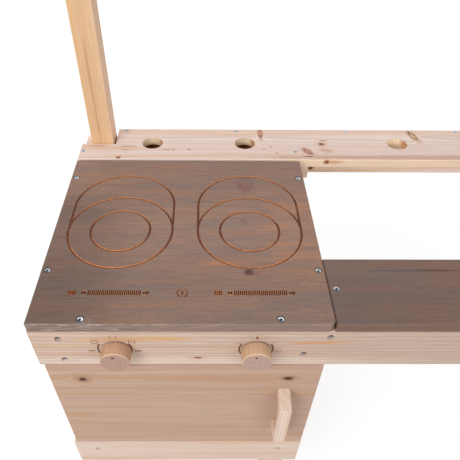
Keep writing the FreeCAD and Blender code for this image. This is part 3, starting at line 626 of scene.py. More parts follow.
@dataclass(frozen=True)
class BoredWood(Wood):
    """Fir with round cup holes, whose walls are paler by painted light, and orange to the right and low
    down.
    """

    bores: tuple[Pair, ...] = ()
    bore_radius: float = 0.019
    bore_edge: Pair = (0.0004, 0.0001)
    warm_from: Pair = (0.4, 0.95)
    low_depths: Pair = (0.006, 0.014)
    low_share: float = 0.5
    band_size: Size = (0.0035, 0.0035, 0.02)
    band_step: Pair = (0.3, 0.6)
    band_reach: Pair = (0.55, 1.0)
    wall_step: Pair = (0.3, 0.7)
    wall_reach: Pair = (0.86, 1.0)
    # Painted light: the walls of the holes are paler than the board.
    painted_light_wall: Colour = srgb(255, 232, 200)
    wall_warm: Colour = srgb(204, 142, 92)

    def paint(self, graph: Graph, board: Board) -> Painted:
        """Paints the board, and the walls by their distance from the middle of a hole.

        Args:
            graph: the material's nodes.
            board: how the board grew.

        Returns:
            The colour, the share of late wood and the fibre noise.
        """
        colour, late, fibre = self.grain(graph, board)
        x, y, z = graph.parts("Object")
        band = graph.cloud((x, y, z), self.band_size)
        low_down = z.smooth(*(TOP - depth for depth in self.low_depths)) * self.low_share
        for centre_x, centre_y in self.bores:
            aside, beyond = x - centre_x, y - centre_y
            inside = aside.apart(beyond).smooth(*(self.bore_radius + edge for edge in self.bore_edge))
            warm = (aside / self.bore_radius).smooth(*self.warm_from).most(low_down)
            warm = warm * band.smooth(*self.band_step, *self.band_reach)
            # Painted light on the walls, mixed to orange to the right and low down.
            painted_light_wall = graph.mix(warm, self.painted_light_wall, self.wall_warm)
            painted_light_wall = graph.shade(painted_light_wall, band.smooth(*self.wall_step, *self.wall_reach))
            colour = graph.mix(inside, colour, painted_light_wall)
        return colour, late, fibre


@dataclass(frozen=True)
class StainedWood(Wood):
    """Fir under a grey-brown stain, rubbed paler along its front edge, with painted shade to the front.

    At the front left corner and the left end of the front edge it is darker still, partly from the stain and
    partly from painted shade.

    The clouds of the stain have sizes along x, y and z, and depths count from the front edge.
    """

    grey: Colour = srgb(126, 107, 100)
    grey_size: Size = (0.14, 0.022, 0.03)
    grey_step: Pair = (0.42, 0.62)
    grey_share: float = 0.6
    russet: Colour = srgb(152, 114, 92)
    russet_size: Size = (0.13, 0.014, 0.03)
    russet_shift: float = 0.39
    russet_step: Pair = (0.46, 0.7)
    russet_share: float = 0.5
    line_size: Size = (0.05, 0.0016, 0.0016)
    line_reach: Pair = (0.81, 1.15)
    pore_size: Size = (0.004, 0.0012, 0.0012)
    pore_reach: Pair = (0.87, 1.1)
    mark_step: Pair = (0.25, 0.75)
    # Painted shade: the board darkens towards the front.
    front_start: float = 0.05
    front_run: float = 0.2
    front_shade: float = 0.76
    # Darker at the front left corner, partly from the stain and partly from painted shade.
    corner_depths: Pair = (0.34, 0.2)
    corner_run: float = 0.19
    corner_shade: float = 0.66
    edge: Colour = srgb(150, 131, 121)
    edge_depths: Pair = (0.0022, 0.0006)
    edge_share: float = 0.5
    # Darker at the left end of the front edge, partly from the stain and partly from painted shade.
    edge_left_shade: float = 0.86
    worn: Colour = srgb(214, 202, 196)
    worn_to: float = -0.36
    worn_run: Pair = (0.05, -0.03)
    worn_size: Size = (0.02, 0.01, 0.0013)
    worn_shift: float = 0.0117
    worn_step: Pair = (0.5, 0.66)
    worn_share: float = 0.4
    tan: Colour = srgb(192, 158, 138)
    sawn_to: float = -0.27
    sawn_run: Pair = (0.12, -0.06)
    sawn_size: Size = (0.06, 0.01, 0.0017)
    sawn_slope: float = 0.0017 / 0.012
    sawn_step: Pair = (0.5, 0.64)
    sawn_shares: Pair = (0.2, 0.42)

    def paint(self, graph: Graph, board: Board) -> Painted:
        """Paints the wood and lays the cloudy stain over it.

        Args:
            graph: the material's nodes.
            board: how the board grew.

        Returns:
            The colour, the share of late wood and the fibre noise.
        """
        colour, late, fibre = self.grain(graph, board)
        low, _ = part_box(board.node)
        x, y, z = point = graph.parts("Object")
        grey = graph.cloud(point, self.grey_size, detail=3.0, rough=0.55)
        russet = graph.cloud((x + self.russet_shift, y, z), self.russet_size, detail=3.0, rough=0.6)
        line = graph.cloud(point, self.line_size, detail=3.0, rough=0.7)
        pore = graph.cloud(point, self.pore_size, rough=0.7)
        colour = graph.mix(grey.smooth(*self.grey_step) * self.grey_share, colour, self.grey)
        colour = graph.mix(russet.smooth(*self.russet_step) * self.russet_share, colour, self.russet)
        colour = graph.shade(colour, line.smooth(*self.mark_step, *self.line_reach))
        colour = graph.shade(colour, pore.smooth(*self.mark_step, *self.pore_reach))
        # Painted shade towards the front, and a darker front left corner, partly stain and partly painted
        # shade.
        front = y.smooth(low.y + self.front_run, low.y + self.front_start, 1.0, self.front_shade)
        colour = graph.shade(colour, front)
        near = y.smooth(*(low.y + depth for depth in self.corner_depths))
        corner = near * x.smooth(low.x + self.corner_run, low.x)
        colour = graph.shade(colour, corner.smooth(0.0, 1.0, 1.0, self.corner_shade))
        return self.wear(graph, colour, point, low.y), late, fibre

    def wear(
        self, graph: Graph, colour: Paint, point: Sequence[Signal], front: float
    ) -> bpy.types.NodeSocket:
        """Colours the front edge, rubs it paler with worn spots to the left, darkens its left end and adds
        slanting saw marks.

        Args:
            graph: the material's nodes.
            colour: the stained wood.
            point: where to read it.
            front: place of the front edge.

        Returns:
            The colour with its worn edge.
        """
        x, y, z = point
        face = y.smooth(*(front + depth for depth in self.edge_depths))
        left = face * x.smooth(*(self.worn_to + reach for reach in self.worn_run))
        pale = graph.cloud((x, y, z + self.worn_shift), self.worn_size, detail=3.0)
        slant = graph.cloud((x, y, z - x * self.sawn_slope), self.sawn_size)
        sawn = x.smooth(*(self.sawn_to + reach for reach in self.sawn_run), *self.sawn_shares)
        colour = graph.mix(face * self.edge_share, colour, self.edge)
        # The darker left end of the front edge: partly stain, partly painted shade.
        colour = graph.shade(colour, left.smooth(0.0, 1.0, 1.0, self.edge_left_shade))
        colour = graph.mix(left * pale.smooth(*self.worn_step) * self.worn_share, colour, self.worn)
        return graph.mix(face * slant.smooth(*self.sawn_step) * sawn, colour, self.tan)


@dataclass(frozen=True)
class HobFinish(StainedWood):
    """The stain of the hob, burnt along the grooves of its two cooking zones and round its controls,
    with a painted highlight on the front-facing side of each groove and painted shadow round each screw
    head.

    A control span is where brown wood starts and ends, from the left end of its row, and how brown it is.
    Zones and grooves have the sizes that are cut into the board.
    """

    # Burnt orange, of the controls and the embers, and of the painted highlight on the grooves.
    burnt: Colour = srgb(208, 140, 88)
    charred: Colour = srgb(88, 42, 18)
    top_depths: Pair = (0.003, 0.002)
    zone_half_spacing: float = 0.0984
    zone_from_front: float = 0.178
    zone_stretch: float = 0.059
    inner_ring: float = 0.045
    outer_ring: float = 0.079
    groove_half: float = 0.0013
    groove_share: float = 1.35
    groove_edge_share: float = 0.3
    # Painted highlight: where a groove's side faces the front, from none to full.
    highlight_facing_shares: Pair = (0.2, 0.7)
    scorch_size: Size = (0.005, 0.0024, 0.006)
    char_step: Pair = (0.2, 0.5)
    char_reach: Pair = (0.8, 1.0)
    highlight_step: Pair = (0.3, 0.5)
    highlight_reach: Pair = (0.55, 1.0)
    ember_step: Pair = (0.56, 0.66)
    ember_share: float = 0.3
    controls: Pair = (0.0495, 0.0567)
    control_edge: float = 0.001
    control_spans: tuple[Span, ...] = (
        (0.0, 0.0090, 0.6), (0.0170, 0.0236, 0.3), (0.0262, 0.0966, 0.4), (0.1000, 0.1084, 0.3),
    )
    # Painted shadow round each screw head, where its countersink lies in shade.
    screw_shadow: Colour = srgb(58, 48, 46)
    screw_shadow_radius: float = 0.0056
    screw_shadow_edge_shares: Pair = (1.1, 0.85)
    screw_shadow_share: float = 0.85

    def paint(self, graph: Graph, board: Board) -> Painted:
        """Paints the stained board, burns its lines and paints shadow round the screw heads.

        Args:
            graph: the material's nodes.
            board: how the board grew.

        Returns:
            The colour, the share of late wood and the fibre noise.
        """
        colour, late, fibre = super().paint(graph, board)
        low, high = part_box(board.node)
        point = graph.parts("Object")
        on_top = point[2].smooth(*(high.z - depth for depth in self.top_depths))
        colour = self.warm_controls(graph, colour, point, on_top, low.y)
        colour = self.burn_zones(graph, colour, point, on_top, ((low.x + high.x) / 2, low.y))
        return self.paint_screw_shadows(graph, colour, point, (low, high)), late, fibre

    def warm_controls(
        self, graph: Graph, colour: Paint, point: Sequence[Signal], on_top: Signal, front: float
    ) -> bpy.types.NodeSocket:
        """Browns the wood between the signs of the touch controls.

        Args:
            graph: the material's nodes.
            colour: the stained wood.
            point: where to read it.
            on_top: one on the top face.
            front: place of the front edge.

        Returns:
            The browned colour.
        """
        x, y, _ = point
        row = y.within(*(front + reach for reach in self.controls), self.control_edge) * on_top
        for first, (start, end, share) in product(CONTROL_STARTS, self.control_spans):
            span = x.within(first + start, first + end, self.control_edge)
            colour = graph.mix(span * row * share, colour, self.burnt)
        return colour

    def burn_zones(
        self, graph: Graph, colour: Paint, point: Sequence[Signal], on_top: Signal, origin: Pair
    ) -> bpy.types.NodeSocket:
        """Burns the grooves of both zones.

        A groove is known by its distance from the curve that it follows: two rings and a stadium to a
        zone. Its line is charred with orange embers, and the side of it that faces the front gets a painted
        highlight in burnt orange.

        Args:
            graph: the material's nodes.
            colour: the stained wood.
            point: where to read it.
            on_top: one on the top face.
            origin: middle of the board and place of its front edge.

        Returns:
            The colour with its grooves.
        """
        x, y, _ = point
        across = (x - origin[0]).size() - self.zone_half_spacing
        back = y - (origin[1] + self.zone_from_front)
        beyond = back - back.most(0.0).least(self.zone_stretch)
        ring, stadium = across.apart(back), across.apart(beyond)
        half = self.groove_half
        wide = self.groove_share * half
        lines, sides = [], []
        for reach, rise, radius in (
            (ring, back, self.inner_ring), (ring, back, self.outer_ring), (stadium, beyond, self.outer_ring),
        ):
            offset = reach - radius
            lines.append(offset.within(-wide, wide, self.groove_edge_share * half))
            # Painted highlight on the side of each groove that faces the front.
            facing = (offset * rise / reach).smooth(*(share * half for share in self.highlight_facing_shares))
            sides.append(lines[-1] * facing)
        line = lines[0].most(lines[1]).most(lines[2]) * on_top
        painted_highlight = sides[0].most(sides[1]).most(sides[2])
        scorch = graph.cloud(point, self.scorch_size, detail=3.0)
        colour = graph.mix(line * scorch.smooth(*self.char_step, *self.char_reach), colour, self.charred)
        # The painted highlight where the scorch shows it, and orange embers anywhere on the line.
        glow = painted_highlight * scorch.smooth(*self.highlight_step, *self.highlight_reach)
        bright = glow + scorch.smooth(*self.ember_step) * self.ember_share
        return graph.mix(line * bright.least(1.0), colour, self.burnt)

    def paint_screw_shadows(
        self, graph: Graph, colour: Paint, point: Sequence[Signal], box: tuple[Vector, Vector]
    ) -> bpy.types.NodeSocket:
        """Paints a ring of shadow round each screw head, where its countersink lies in shade.

        Args:
            graph: the material's nodes.
            colour: the stained wood.
            point: where to read it.
            box: lowest and highest corner of the board.

        Returns:
            The colour with painted shadow round the heads.
        """
        x, y, _ = point
        low, high = box
        for points in solids_of("top_screws"):
            place = Spot.of(points).place
            if low.x < place[0] < high.x and low.y < place[1] < high.y:
                apart = (x - float(place[0])).apart(y - float(place[1]))
                rim = apart.smooth(*(share * self.screw_shadow_radius for share in self.screw_shadow_edge_shares))
                colour = graph.mix(rim * self.screw_shadow_share, colour, self.screw_shadow)
        return colour


@dataclass(frozen=True)
class TurnedWood(Wood):
    """A knob turned with its grain along the bolt: end grain in front, a painted highlight as a pale rim
    round the front, and a dark pointer dot.

    Its turn is the angle by which the dot stands to the left of straight up, in degrees.
    """

    turn: float = 0.0
    face: Colour = srgb(188, 155, 141)
    mottle: Colour = srgb(168, 134, 121)
    mottle_size: Size = (0.0022, 0.01, 0.0022)
    mottle_step: Pair = (0.38, 0.64)
    face_step: Pair = (0.88, 0.985)
    # Painted highlight on the rounded edge round the front face.
    rim: Colour = srgb(224, 188, 156)
    rim_step: Pair = (0.12, 0.4)
    rim_share: float = 0.75
    dot: Colour = srgb(62, 38, 28)
    dot_reach: float = 0.0115
    dot_radius: float = 0.0016
    dot_edge_shares: Pair = (1.2, 0.9)
    dot_depths: Pair = (0.004, 0.006)

    def paint(self, graph: Graph, board: Board) -> Painted:
        """Paints one knob by the way its surface faces.

        Args:
            graph: the material's nodes.
            board: the knob, its grain along the bolt.

        Returns:
            The colour, the share of late wood and the fibre noise.
        """
        colour, late, fibre = self.grain(graph, board)
        x, y, z = point = graph.parts("Object")
        facing = 0.0 - graph.parts("Normal")[1]
        cloud = graph.cloud(point, self.mottle_size, detail=3.0)
        front = graph.mix(cloud.smooth(*self.mottle_step), self.face, self.mottle)
        front = graph.mix(1.0, front, board.tone, "MULTIPLY")
        # Painted highlight on the rounded edge, then the end grain of the front face.
        colour = graph.mix(facing.smooth(*self.rim_step) * self.rim_share, colour, self.rim)
        colour = graph.mix(facing.smooth(*self.face_step), colour, front)
        angle = math.radians(self.turn)
        aside = x - (board.centre[0] - self.dot_reach * math.sin(angle))
        above = z - (board.centre[2] + self.dot_reach * math.cos(angle))
        drilled = aside.apart(above).smooth(*(share * self.dot_radius for share in self.dot_edge_shares))
        near = y.smooth(*(board.centre[1] - depth for depth in self.dot_depths))
        return graph.mix(drilled * near, colour, self.dot), late, fibre


@dataclass(frozen=True)
class BurntMark:
    """Lines burnt into wood, from orange-brown to char."""

    name: str
    burnt: Colour
    charred: Colour
    scorch_size: Size = (0.003, 0.003, 0.003)
    char_step: Pair = (0.35, 0.65)
    relief: float = 0.0002
    relief_strength: float = 0.4
    rough_step: Pair = (0.2, 0.8)
    roughness: Pair = (0.75, 0.9)
    specular: float = 0.05

    def material(self) -> bpy.types.Material:
        """The finished material, uneven along the lines.

        Returns:
            The finished material.
        """
        graph = Graph(self.name)
        scorch = graph.cloud(graph.parts("Object"), self.scorch_size, detail=3.0)
        colour = graph.mix(scorch.smooth(*self.char_step), self.burnt, self.charred)
        graph.relief(scorch, self.relief, self.relief_strength)
        rough = scorch.smooth(*self.rough_step, *self.roughness)
        return graph.dress(Base_Color=colour, Roughness=rough, Specular_IOR_Level=self.specular)


@dataclass(frozen=True)
class Plating:
    """Plated steel: cloudy tone, fine scratches, a soft mirror, painted shade by the recess attribute."""

    name: str
    bright: Colour
    dull: Colour
    roughness: Pair = (0.24, 0.42)
    rough_shares: Pair = (0.6, 0.4)
    rough_step: Pair = (0.3, 0.7)
    cloud_size: Size = (0.006, 0.006, 0.006)
    dull_step: Pair = (0.35, 0.65)
    scratch_size: Size = (0.0004, 0.003, 0.0008)
    scratch_depth: float = 0.00005
    scratch_strength: float = 0.2
    # Colour of the painted shade, laid on as far as the mesh's recess attribute says.
    painted_shade: Colour = srgb(30, 38, 46)
    painted_shade_attribute: str = "recess"

    def material(self) -> bpy.types.Material:
        """The finished material.

        Returns:
            The finished material.
        """
        graph = Graph(self.name)
        point = graph.parts("Object")
        cloud = graph.cloud(point, self.cloud_size, detail=3.0)
        scratch = graph.cloud(point, self.scratch_size)
        colour = graph.mix(cloud.smooth(*self.dull_step), self.bright, self.dull)
        # Painted shade from the recess attribute.
        colour = graph.mix(graph.attribute(self.painted_shade_attribute), colour, self.painted_shade)
        graph.relief(scratch, self.scratch_depth, self.scratch_strength)
        wear = cloud * self.rough_shares[0] + scratch * self.rough_shares[1]
        rough = wear.smooth(*self.rough_step, *self.roughness)
        return graph.dress(Base_Color=colour, Roughness=rough, Metallic=1.0)


@dataclass(frozen=True)
class Matte:
    """A soft dull finish, such as felt or moulded plastic, with a fine tooth."""

    name: str
    light: Colour
    dark: Colour
    tooth: float
    roughness: float
    tooth_step: Pair = (0.3, 0.7)
    depth_share: float = 0.3
    relief_strength: float = 0.4

    def material(self) -> bpy.types.Material:
        """The finished material.

        Returns:
            The finished material.
        """
        graph = Graph(self.name)
        tooth = graph.cloud(graph.parts("Object"), (self.tooth, self.tooth, self.tooth), detail=3.0)
        colour = graph.mix(tooth.smooth(*self.tooth_step), self.dark, self.light)
        graph.relief(tooth, self.depth_share * self.tooth, self.relief_strength)
        return graph.dress(Base_Color=colour, Roughness=self.roughness)


CUP_HOLES: tuple[Pair, ...] = tuple(
    tuple(mount["pos_m"][:2]) for mount in frame["record"]["mounts"] if mount["kind"] == "bore"
)
FIR = Wood("planed_fir", srgb(234, 214, 199), srgb(208, 170, 144), srgb(226, 197, 184), srgb(222, 185, 151))
BORED_FIR = BoredWood("bored_fir", FIR.early, FIR.late, FIR.blush, FIR.honey, bores=CUP_HOLES)
FASCIA_FIR = replace(FIR, name="fascia_fir", contrast=0.75)
HONEY_FIR = Wood(
    "honey_fir", srgb(226, 190, 152), srgb(206, 158, 112), srgb(218, 176, 140), srgb(224, 176, 122),
    contrast=0.3, streak_share=0.2,
)
TURNED = TurnedWood(
    "turned_beech", srgb(190, 153, 126), srgb(162, 123, 96), srgb(183, 143, 118), srgb(190, 149, 116),
    ring=0.0024, contrast=0.4, end_shade=1.0, fibre_reach=(0.84, 1.1),
)
STAINED = StainedWood(
    "stained_fir", srgb(146, 118, 105), srgb(124, 98, 88), srgb(138, 111, 100), srgb(148, 118, 102),
    contrast=0.3, roughness=(0.5, 0.64), specular=0.25, streak_share=0.2, front_shade=0.79, front_run=0.14,
    corner_shade=0.95, line_reach=(0.88, 1.1), pore_reach=(0.92, 1.07), edge=srgb(130, 100, 86),
    tan=srgb(178, 138, 112), grey=srgb(110, 95, 91), russet=srgb(126, 99, 88), sawn_to=-1.0,
)
HOB = HobFinish(
    "stained_hob", srgb(150, 121, 106), srgb(128, 101, 89), srgb(142, 114, 102), srgb(152, 120, 102),
    contrast=0.4, roughness=(0.5, 0.64), specular=0.25, streak_share=0.3,
)
HOB_MARK = BurntMark("hob_mark", srgb(74, 36, 20), srgb(50, 22, 12))
DIGIT_MARK = BurntMark("digit_mark", srgb(136, 78, 44), srgb(86, 44, 24))
DIAL_MARK = BurntMark("dial_mark", srgb(168, 112, 70), srgb(118, 68, 38))
ARC_MARK = BurntMark("arc_mark", srgb(140, 82, 46), srgb(92, 48, 26))
ZINC = Plating("zinc_plate", srgb(212, 215, 218), srgb(170, 178, 188), (0.32, 0.5))
STEEL = Plating("hinge_plate", srgb(206, 207, 206), srgb(170, 173, 176), (0.3, 0.45))
FELT = Matte("tan_felt", srgb(196, 158, 126), srgb(172, 134, 104), 0.0006, 0.95)
CATCH = Matte("brown_plastic", srgb(150, 112, 80), srgb(132, 98, 70), 0.0012, 0.5)


def paint_node(node: str, material: bpy.types.Material) -> None:
    """Gives a CAD node its material.

    Args:
        node: the CAD node.
        material: its finish.
    """
    mesh = frame["nodes"][node].data
    if mesh.materials:
        mesh.materials[0] = material
    else:
        mesh.materials.append(material)
    LOG.info("%s dressed in %s", node, material.name)


def grid_faces(rows: int, columns: int) -> np.ndarray:
    """Quads over a grid of points whose columns close on themselves.

    Args:
        rows, columns: how many points the grid has each way.

    Returns:
        An array of four point numbers a face.
    """
    row, column = np.meshgrid(np.arange(rows - 1), np.arange(columns), indexing="ij")
    here, below = row * columns, (row + 1) * columns
    beside = (column + 1) % columns
    return np.stack((here + column, here + beside, below + beside, below + column), axis=-1).reshape(-1, 4)


def make_piece(name: str, points: np.ndarray, faces: Iterable[Sequence[int]]) -> bpy.types.Object:
    """A mesh object at the origin.

    Args:
        name: the piece's name.
        points: its points.
        faces: point numbers of each face.

    Returns:
        The object, in the scene.
    """
    mesh = bpy.data.meshes.new(name)
    mesh.from_pydata(points.tolist(), [], [[int(index) for index in face] for face in faces])
    mesh.update()
    piece = bpy.data.objects.new(name, mesh)
    bpy.context.scene.collection.objects.link(piece)
    return piece


def join_forms(forms: Sequence[Form]) -> Form:
    """Several forms as one, with their face numbers moved up.

    Args:
        forms: points and faces of each form.

    Returns:
        Points and faces of all of them.
    """
    starts = np.cumsum([0] + [len(points) for points, _ in forms[:-1]])
    points = np.concatenate([points for points, _ in forms])
    faces = [[index + start for index in face] for (_, quads), start in zip(forms, starts) for face in quads]
    return points, faces


def settle(piece: bpy.types.Object, body: Body, material: bpy.types.Material) -> None:
    """Dresses a new piece and lets it ride on its body.

    Args:
        piece: the new piece.
        body: what it rides on.
        material: its finish.
    """
    piece.data.materials.append(material)
    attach(piece, body.value)
    LOG.info("%s made with %d faces", piece.name, len(piece.data.polygons))


@dataclass(frozen=True)
class Face:
    """A flat face that marks are burnt into: a point on it, two directions in it and the way out."""

    origin: Place
    right: Place
    up: Place
    out: Place

    def lift(self, flat: np.ndarray) -> np.ndarray:
        """Carries points given as right, up and out into the frame."""
        return np.array(self.origin) + flat @ np.array([self.right, self.up, self.out])


@dataclass
class Strokes:
    """Burnt lines on one face, gathered into one piece."""

    face: Face
    proud: float = 0.00012
    sunk: float = 0.0005
    degrees_a_step: float = 6.0
    fewest_points: int = 6
    forms: list[Form] = field(default_factory=list)

    def draw(self, path: np.ndarray, width: Union[float, np.ndarray]) -> None:
        """Adds a line: a flat bar, its four corners carried along the path and closed at both ends.

        Args:
            path: points in the face, right and up.
            width: the line's width, one for all or one a point.
        """
        path = np.asarray(path, float)
        ahead = np.gradient(path, axis=0)
        ahead /= np.linalg.norm(ahead, axis=1, keepdims=True)
        aside = np.stack([-ahead[:, 1], ahead[:, 0]], axis=1)
        half = np.broadcast_to(np.asarray(width, float) / 2, len(path))[:, None]
        left, right = path + aside * half, path - aside * half
        corners = ((left, -self.sunk), (right, -self.sunk), (right, self.proud), (left, self.proud))
        flat = [np.column_stack([side, np.full(len(path), level)]) for side, level in corners]
        last = len(corners) * (len(path) - 1)
        faces = grid_faces(len(path), len(corners)).tolist()
        faces += [[3, 2, 1, 0], [last, last + 1, last + 2, last + 3]]
        self.forms.append((self.face.lift(np.stack(flat, axis=1).reshape(-1, 3)), faces))

    def arc(self, centre: Sequence[float], radius: float, start: float, end: float, width: float) -> None:
        """Adds an arc of a circle.

        Args:
            centre, radius: the circle.
            start, end: angles in degrees.
            width: the line's width.
        """
        steps = max(self.fewest_points, int(abs(end - start) / self.degrees_a_step))
        turn = np.radians(np.linspace(start, end, steps))
        self.draw(np.array(centre) + radius * np.column_stack([np.cos(turn), np.sin(turn)]), width)

    def bar(self, start: Sequence[float], end: Sequence[float], width: float) -> None:
        """Adds a straight line."""
        self.draw(np.array([start, end]), width)

    def frame_box(self, centre: Sequence[float], size: Sequence[float], width: float) -> None:
        """Adds the outline of a rectangle, as four bars.

        Args:
            centre: its middle.
            size: how wide and how high it is.
            width: the lines' width.
        """
        (x, y), (wide, high) = centre, size
        for side in (-0.5, 0.5):
            self.bar((x + side * wide, y - high / 2), (x + side * wide, y + high / 2), width)
            self.bar((x - wide / 2, y + side * high), (x + wide / 2, y + side * high), width)

    def piece(self, name: str) -> bpy.types.Object:
        """The mesh object of all the lines."""
        return make_piece(name, *join_forms(self.forms))


@dataclass
class HobMarks:
    """The touch controls burnt into the front of the hob: level bars, digits and an on sign."""

    line_from_front: float = 0.0531
    digit: Pair = (0.0034, 0.0062)
    digit_pitch: float = 0.0056
    pause_from_start: float = 0.0186
    pause_pitch: float = 0.0034
    pause_height: float = 0.0044
    pause_line_share: float = 1.5
    bars_from_start: float = 0.0268
    bars_length: float = 0.0694
    bar_count: int = 28
    bar: Pair = (0.0017, 0.0080)
    end_from_start: float = 0.1012
    end_box: Pair = (0.0034, 0.0040)
    end_box_share: float = 1.3
    end_line_share: float = 1.2
    on_sign: float = -0.3032
    on_radius: float = 0.0070
    on_half: float = 70.0
    on_line_share: float = 1.3
    line: float = 0.0018

    def build(self) -> None:
        """Draws both rows of controls and the on sign between them."""
        low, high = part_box("hob_board")
        face = Face((0.0, low.y + self.line_from_front, high.z), (1, 0, 0), (0, 1, 0), (0, 0, 1))
        strokes, digits = Strokes(face), Strokes(face)
        for start in CONTROL_STARTS:
            self.draw_group(strokes, start)
            self.draw_digits(digits, start)
        self.draw_on_sign(digits)
        settle(strokes.piece("hob_control_marks"), Body.KITCHEN, HOB_MARK.material())
        settle(digits.piece("hob_digit_marks"), Body.KITCHEN, DIGIT_MARK.material())

    def draw_digits(self, strokes: Strokes, start: float) -> None:
        """Draws two figures of eight, made of bars, at the start of one row.

        Args:
            strokes: where the lines go.
            start: left end of the row.
        """
        wide = self.digit[0]
        for index in range(2):
            x = start + wide / 2 + index * self.digit_pitch
            strokes.frame_box((x, 0.0), self.digit, self.line)
            strokes.bar((x - wide / 2, 0.0), (x + wide / 2, 0.0), self.line)

    def draw_group(self, strokes: Strokes, start: float) -> None:
        """Draws the pause sign, the level bars and the end sign of one row.

        Args:
            strokes: where the lines go.
            start: left end of the row.
        """
        for index in range(2):
            x = start + self.pause_from_start + index * self.pause_pitch
            half = self.pause_height / 2
            strokes.bar((x, -half), (x, half), self.pause_line_share * self.line)
        width, tall = self.bar
        for x in start + self.bars_from_start + np.linspace(0.0, self.bars_length, self.bar_count):
            strokes.bar((x, -tall / 2), (x, tall / 2), width)
        x, half = start + self.end_from_start, self.end_box[1] / 2
        strokes.bar((x, -half), (x, half), self.end_line_share * self.line)
        strokes.frame_box((x + self.end_box_share * self.end_box[0], 0.0), self.end_box, self.line)

    def draw_on_sign(self, strokes: Strokes) -> None:
        """Draws a ring open at the top and bottom, with an upright bar in it.

        Args:
            strokes: where the lines go.
        """
        for side in RING_SIDES:
            start, end = side - self.on_half, side + self.on_half
            strokes.arc((self.on_sign, 0.0), self.on_radius, start, end, self.line)
        half = self.on_radius / 2
        strokes.bar((self.on_sign, -half), (self.on_sign, half), self.on_line_share * self.line)


@dataclass
class DialMarks:
    """The signs burnt into the fascia round each knob: two arcs and small oven signs.

    Places are given from the middle of the knob, right and up. A row of dashes has a start, an end and a
    height, and the angle of an arc is half of what it spans, in degrees.
    """

    arc_radius: float = 0.0228
    arc_half: float = 31.0
    arc_width: float = 0.0019
    left_shift: float = -0.0005
    left_arc_shift: float = -0.0016
    line: float = 0.0010
    ticks: Pair = (-0.0053, 0.0026)
    tick_span: Pair = (0.0256, 0.0296)
    box_place: Pair = (-0.0269, 0.0164)
    box_size: Pair = (0.0084, 0.0060)
    comb_teeth: tuple[float, ...] = (-0.0367, -0.0343, -0.0318, -0.0293)
    comb_span: Pair = (-0.0026, -0.0062)
    bars: tuple[Pair, ...] = ((0.0186, 0.0080), (0.0224, 0.0036), (0.0262, 0.0080))
    bars_height: float = 0.0165
    pegs: tuple[float, ...] = (0.0254, 0.0278, 0.0302, 0.0326)
    peg_span: Pair = (-0.0072, -0.0020)
    peg_line_share: float = 1.3
    drop_width: float = 0.0041
    drop_tip: float = 0.0002
    drop_from: float = 0.0226
    drop_height: float = 0.0070
    drop_points: int = 9
    drop_push: float = 0.62
    drop_thin_share: float = 0.55
    dash: float = 0.0013
    dash_pitch_share: float = 1.9
    dash_line_share: float = 1.2
    dash_rows: tuple[Span, ...] = (
        (-0.0281, -0.0203, 0.0136), (0.0205, 0.0258, 0.0146), (0.0257, 0.0333, -0.0056),
    )

    def build(self) -> None:
        """Draws the signs round both knobs."""
        bottom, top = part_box("front_fascia")
        face = Face((0.0, bottom.y, (bottom.z + top.z) / 2), (1, 0, 0), (0, 0, 1), (0, -1, 0))
        signs, arcs = Strokes(face), Strokes(face)
        for node, draw, shift, arc_shift in (
            ("left_knob", self.draw_oven, self.left_shift, self.left_arc_shift),
            ("right_knob", self.draw_heat, 0.0, 0.0),
        ):
            low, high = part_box(node)
            centre = np.array([(low.x + high.x) / 2 + shift, 0.0])
            middle = centre + (arc_shift, 0.0)
            for side in RING_SIDES:
                arcs.arc(middle, self.arc_radius, side - self.arc_half, side + self.arc_half, self.arc_width)
            draw(signs, centre)
        settle(signs.piece("fascia_dial_marks"), Body.KITCHEN, DIAL_MARK.material())
        settle(arcs.piece("fascia_dial_arcs"), Body.KITCHEN, ARC_MARK.material())

    def draw_oven(self, strokes: Strokes, centre: np.ndarray) -> None:
        """Draws an oven's signs: ticks over the knob, a box and a comb to the left, bars to the right.

        Args:
            strokes: where the lines go.
            centre: middle of the knob.
        """
        for x in self.ticks:
            strokes.bar(centre + (x, self.tick_span[0]), centre + (x, self.tick_span[1]), self.line)
        strokes.frame_box(centre + self.box_place, self.box_size, self.line)
        back, tip = self.comb_span
        strokes.bar(centre + (self.comb_teeth[0], back), centre + (self.comb_teeth[-1], back), self.line)
        for x in self.comb_teeth:
            strokes.bar(centre + (x, back), centre + (x, tip), self.line)
        for x, tall in self.bars:
            low, high = self.bars_height - tall / 2, self.bars_height + tall / 2
            strokes.bar(centre + (x, low), centre + (x, high), self.line)
        for x in self.pegs:
            low, high = self.peg_span
            strokes.bar(centre + (x, low), centre + (x, high), self.peg_line_share * self.line)

    def draw_heat(self, strokes: Strokes, centre: np.ndarray) -> None:
        """Draws a drop over the knob and rows of dashes beside it.

        The drop's width is the root of a sine that is pushed towards its foot, thinned towards its tip.

        Args:
            strokes: where the lines go.
            centre: middle of the knob.
        """
        rise = np.linspace(0.0, 1.0, self.drop_points)
        swell = np.sqrt(np.maximum(np.sin(np.pi * rise ** self.drop_push), 0.0))
        swell = swell * (1.0 - self.drop_thin_share * rise)
        path = np.column_stack([np.zeros(self.drop_points), self.drop_from + self.drop_height * rise])
        strokes.draw(centre + path, self.drop_width * swell + self.drop_tip)
        for start, end, height in self.dash_rows:
            for x in np.arange(start, end, self.dash_pitch_share * self.dash):
                line = self.dash_line_share * self.line
                strokes.bar(centre + (x, height), centre + (x + self.dash, height), line)


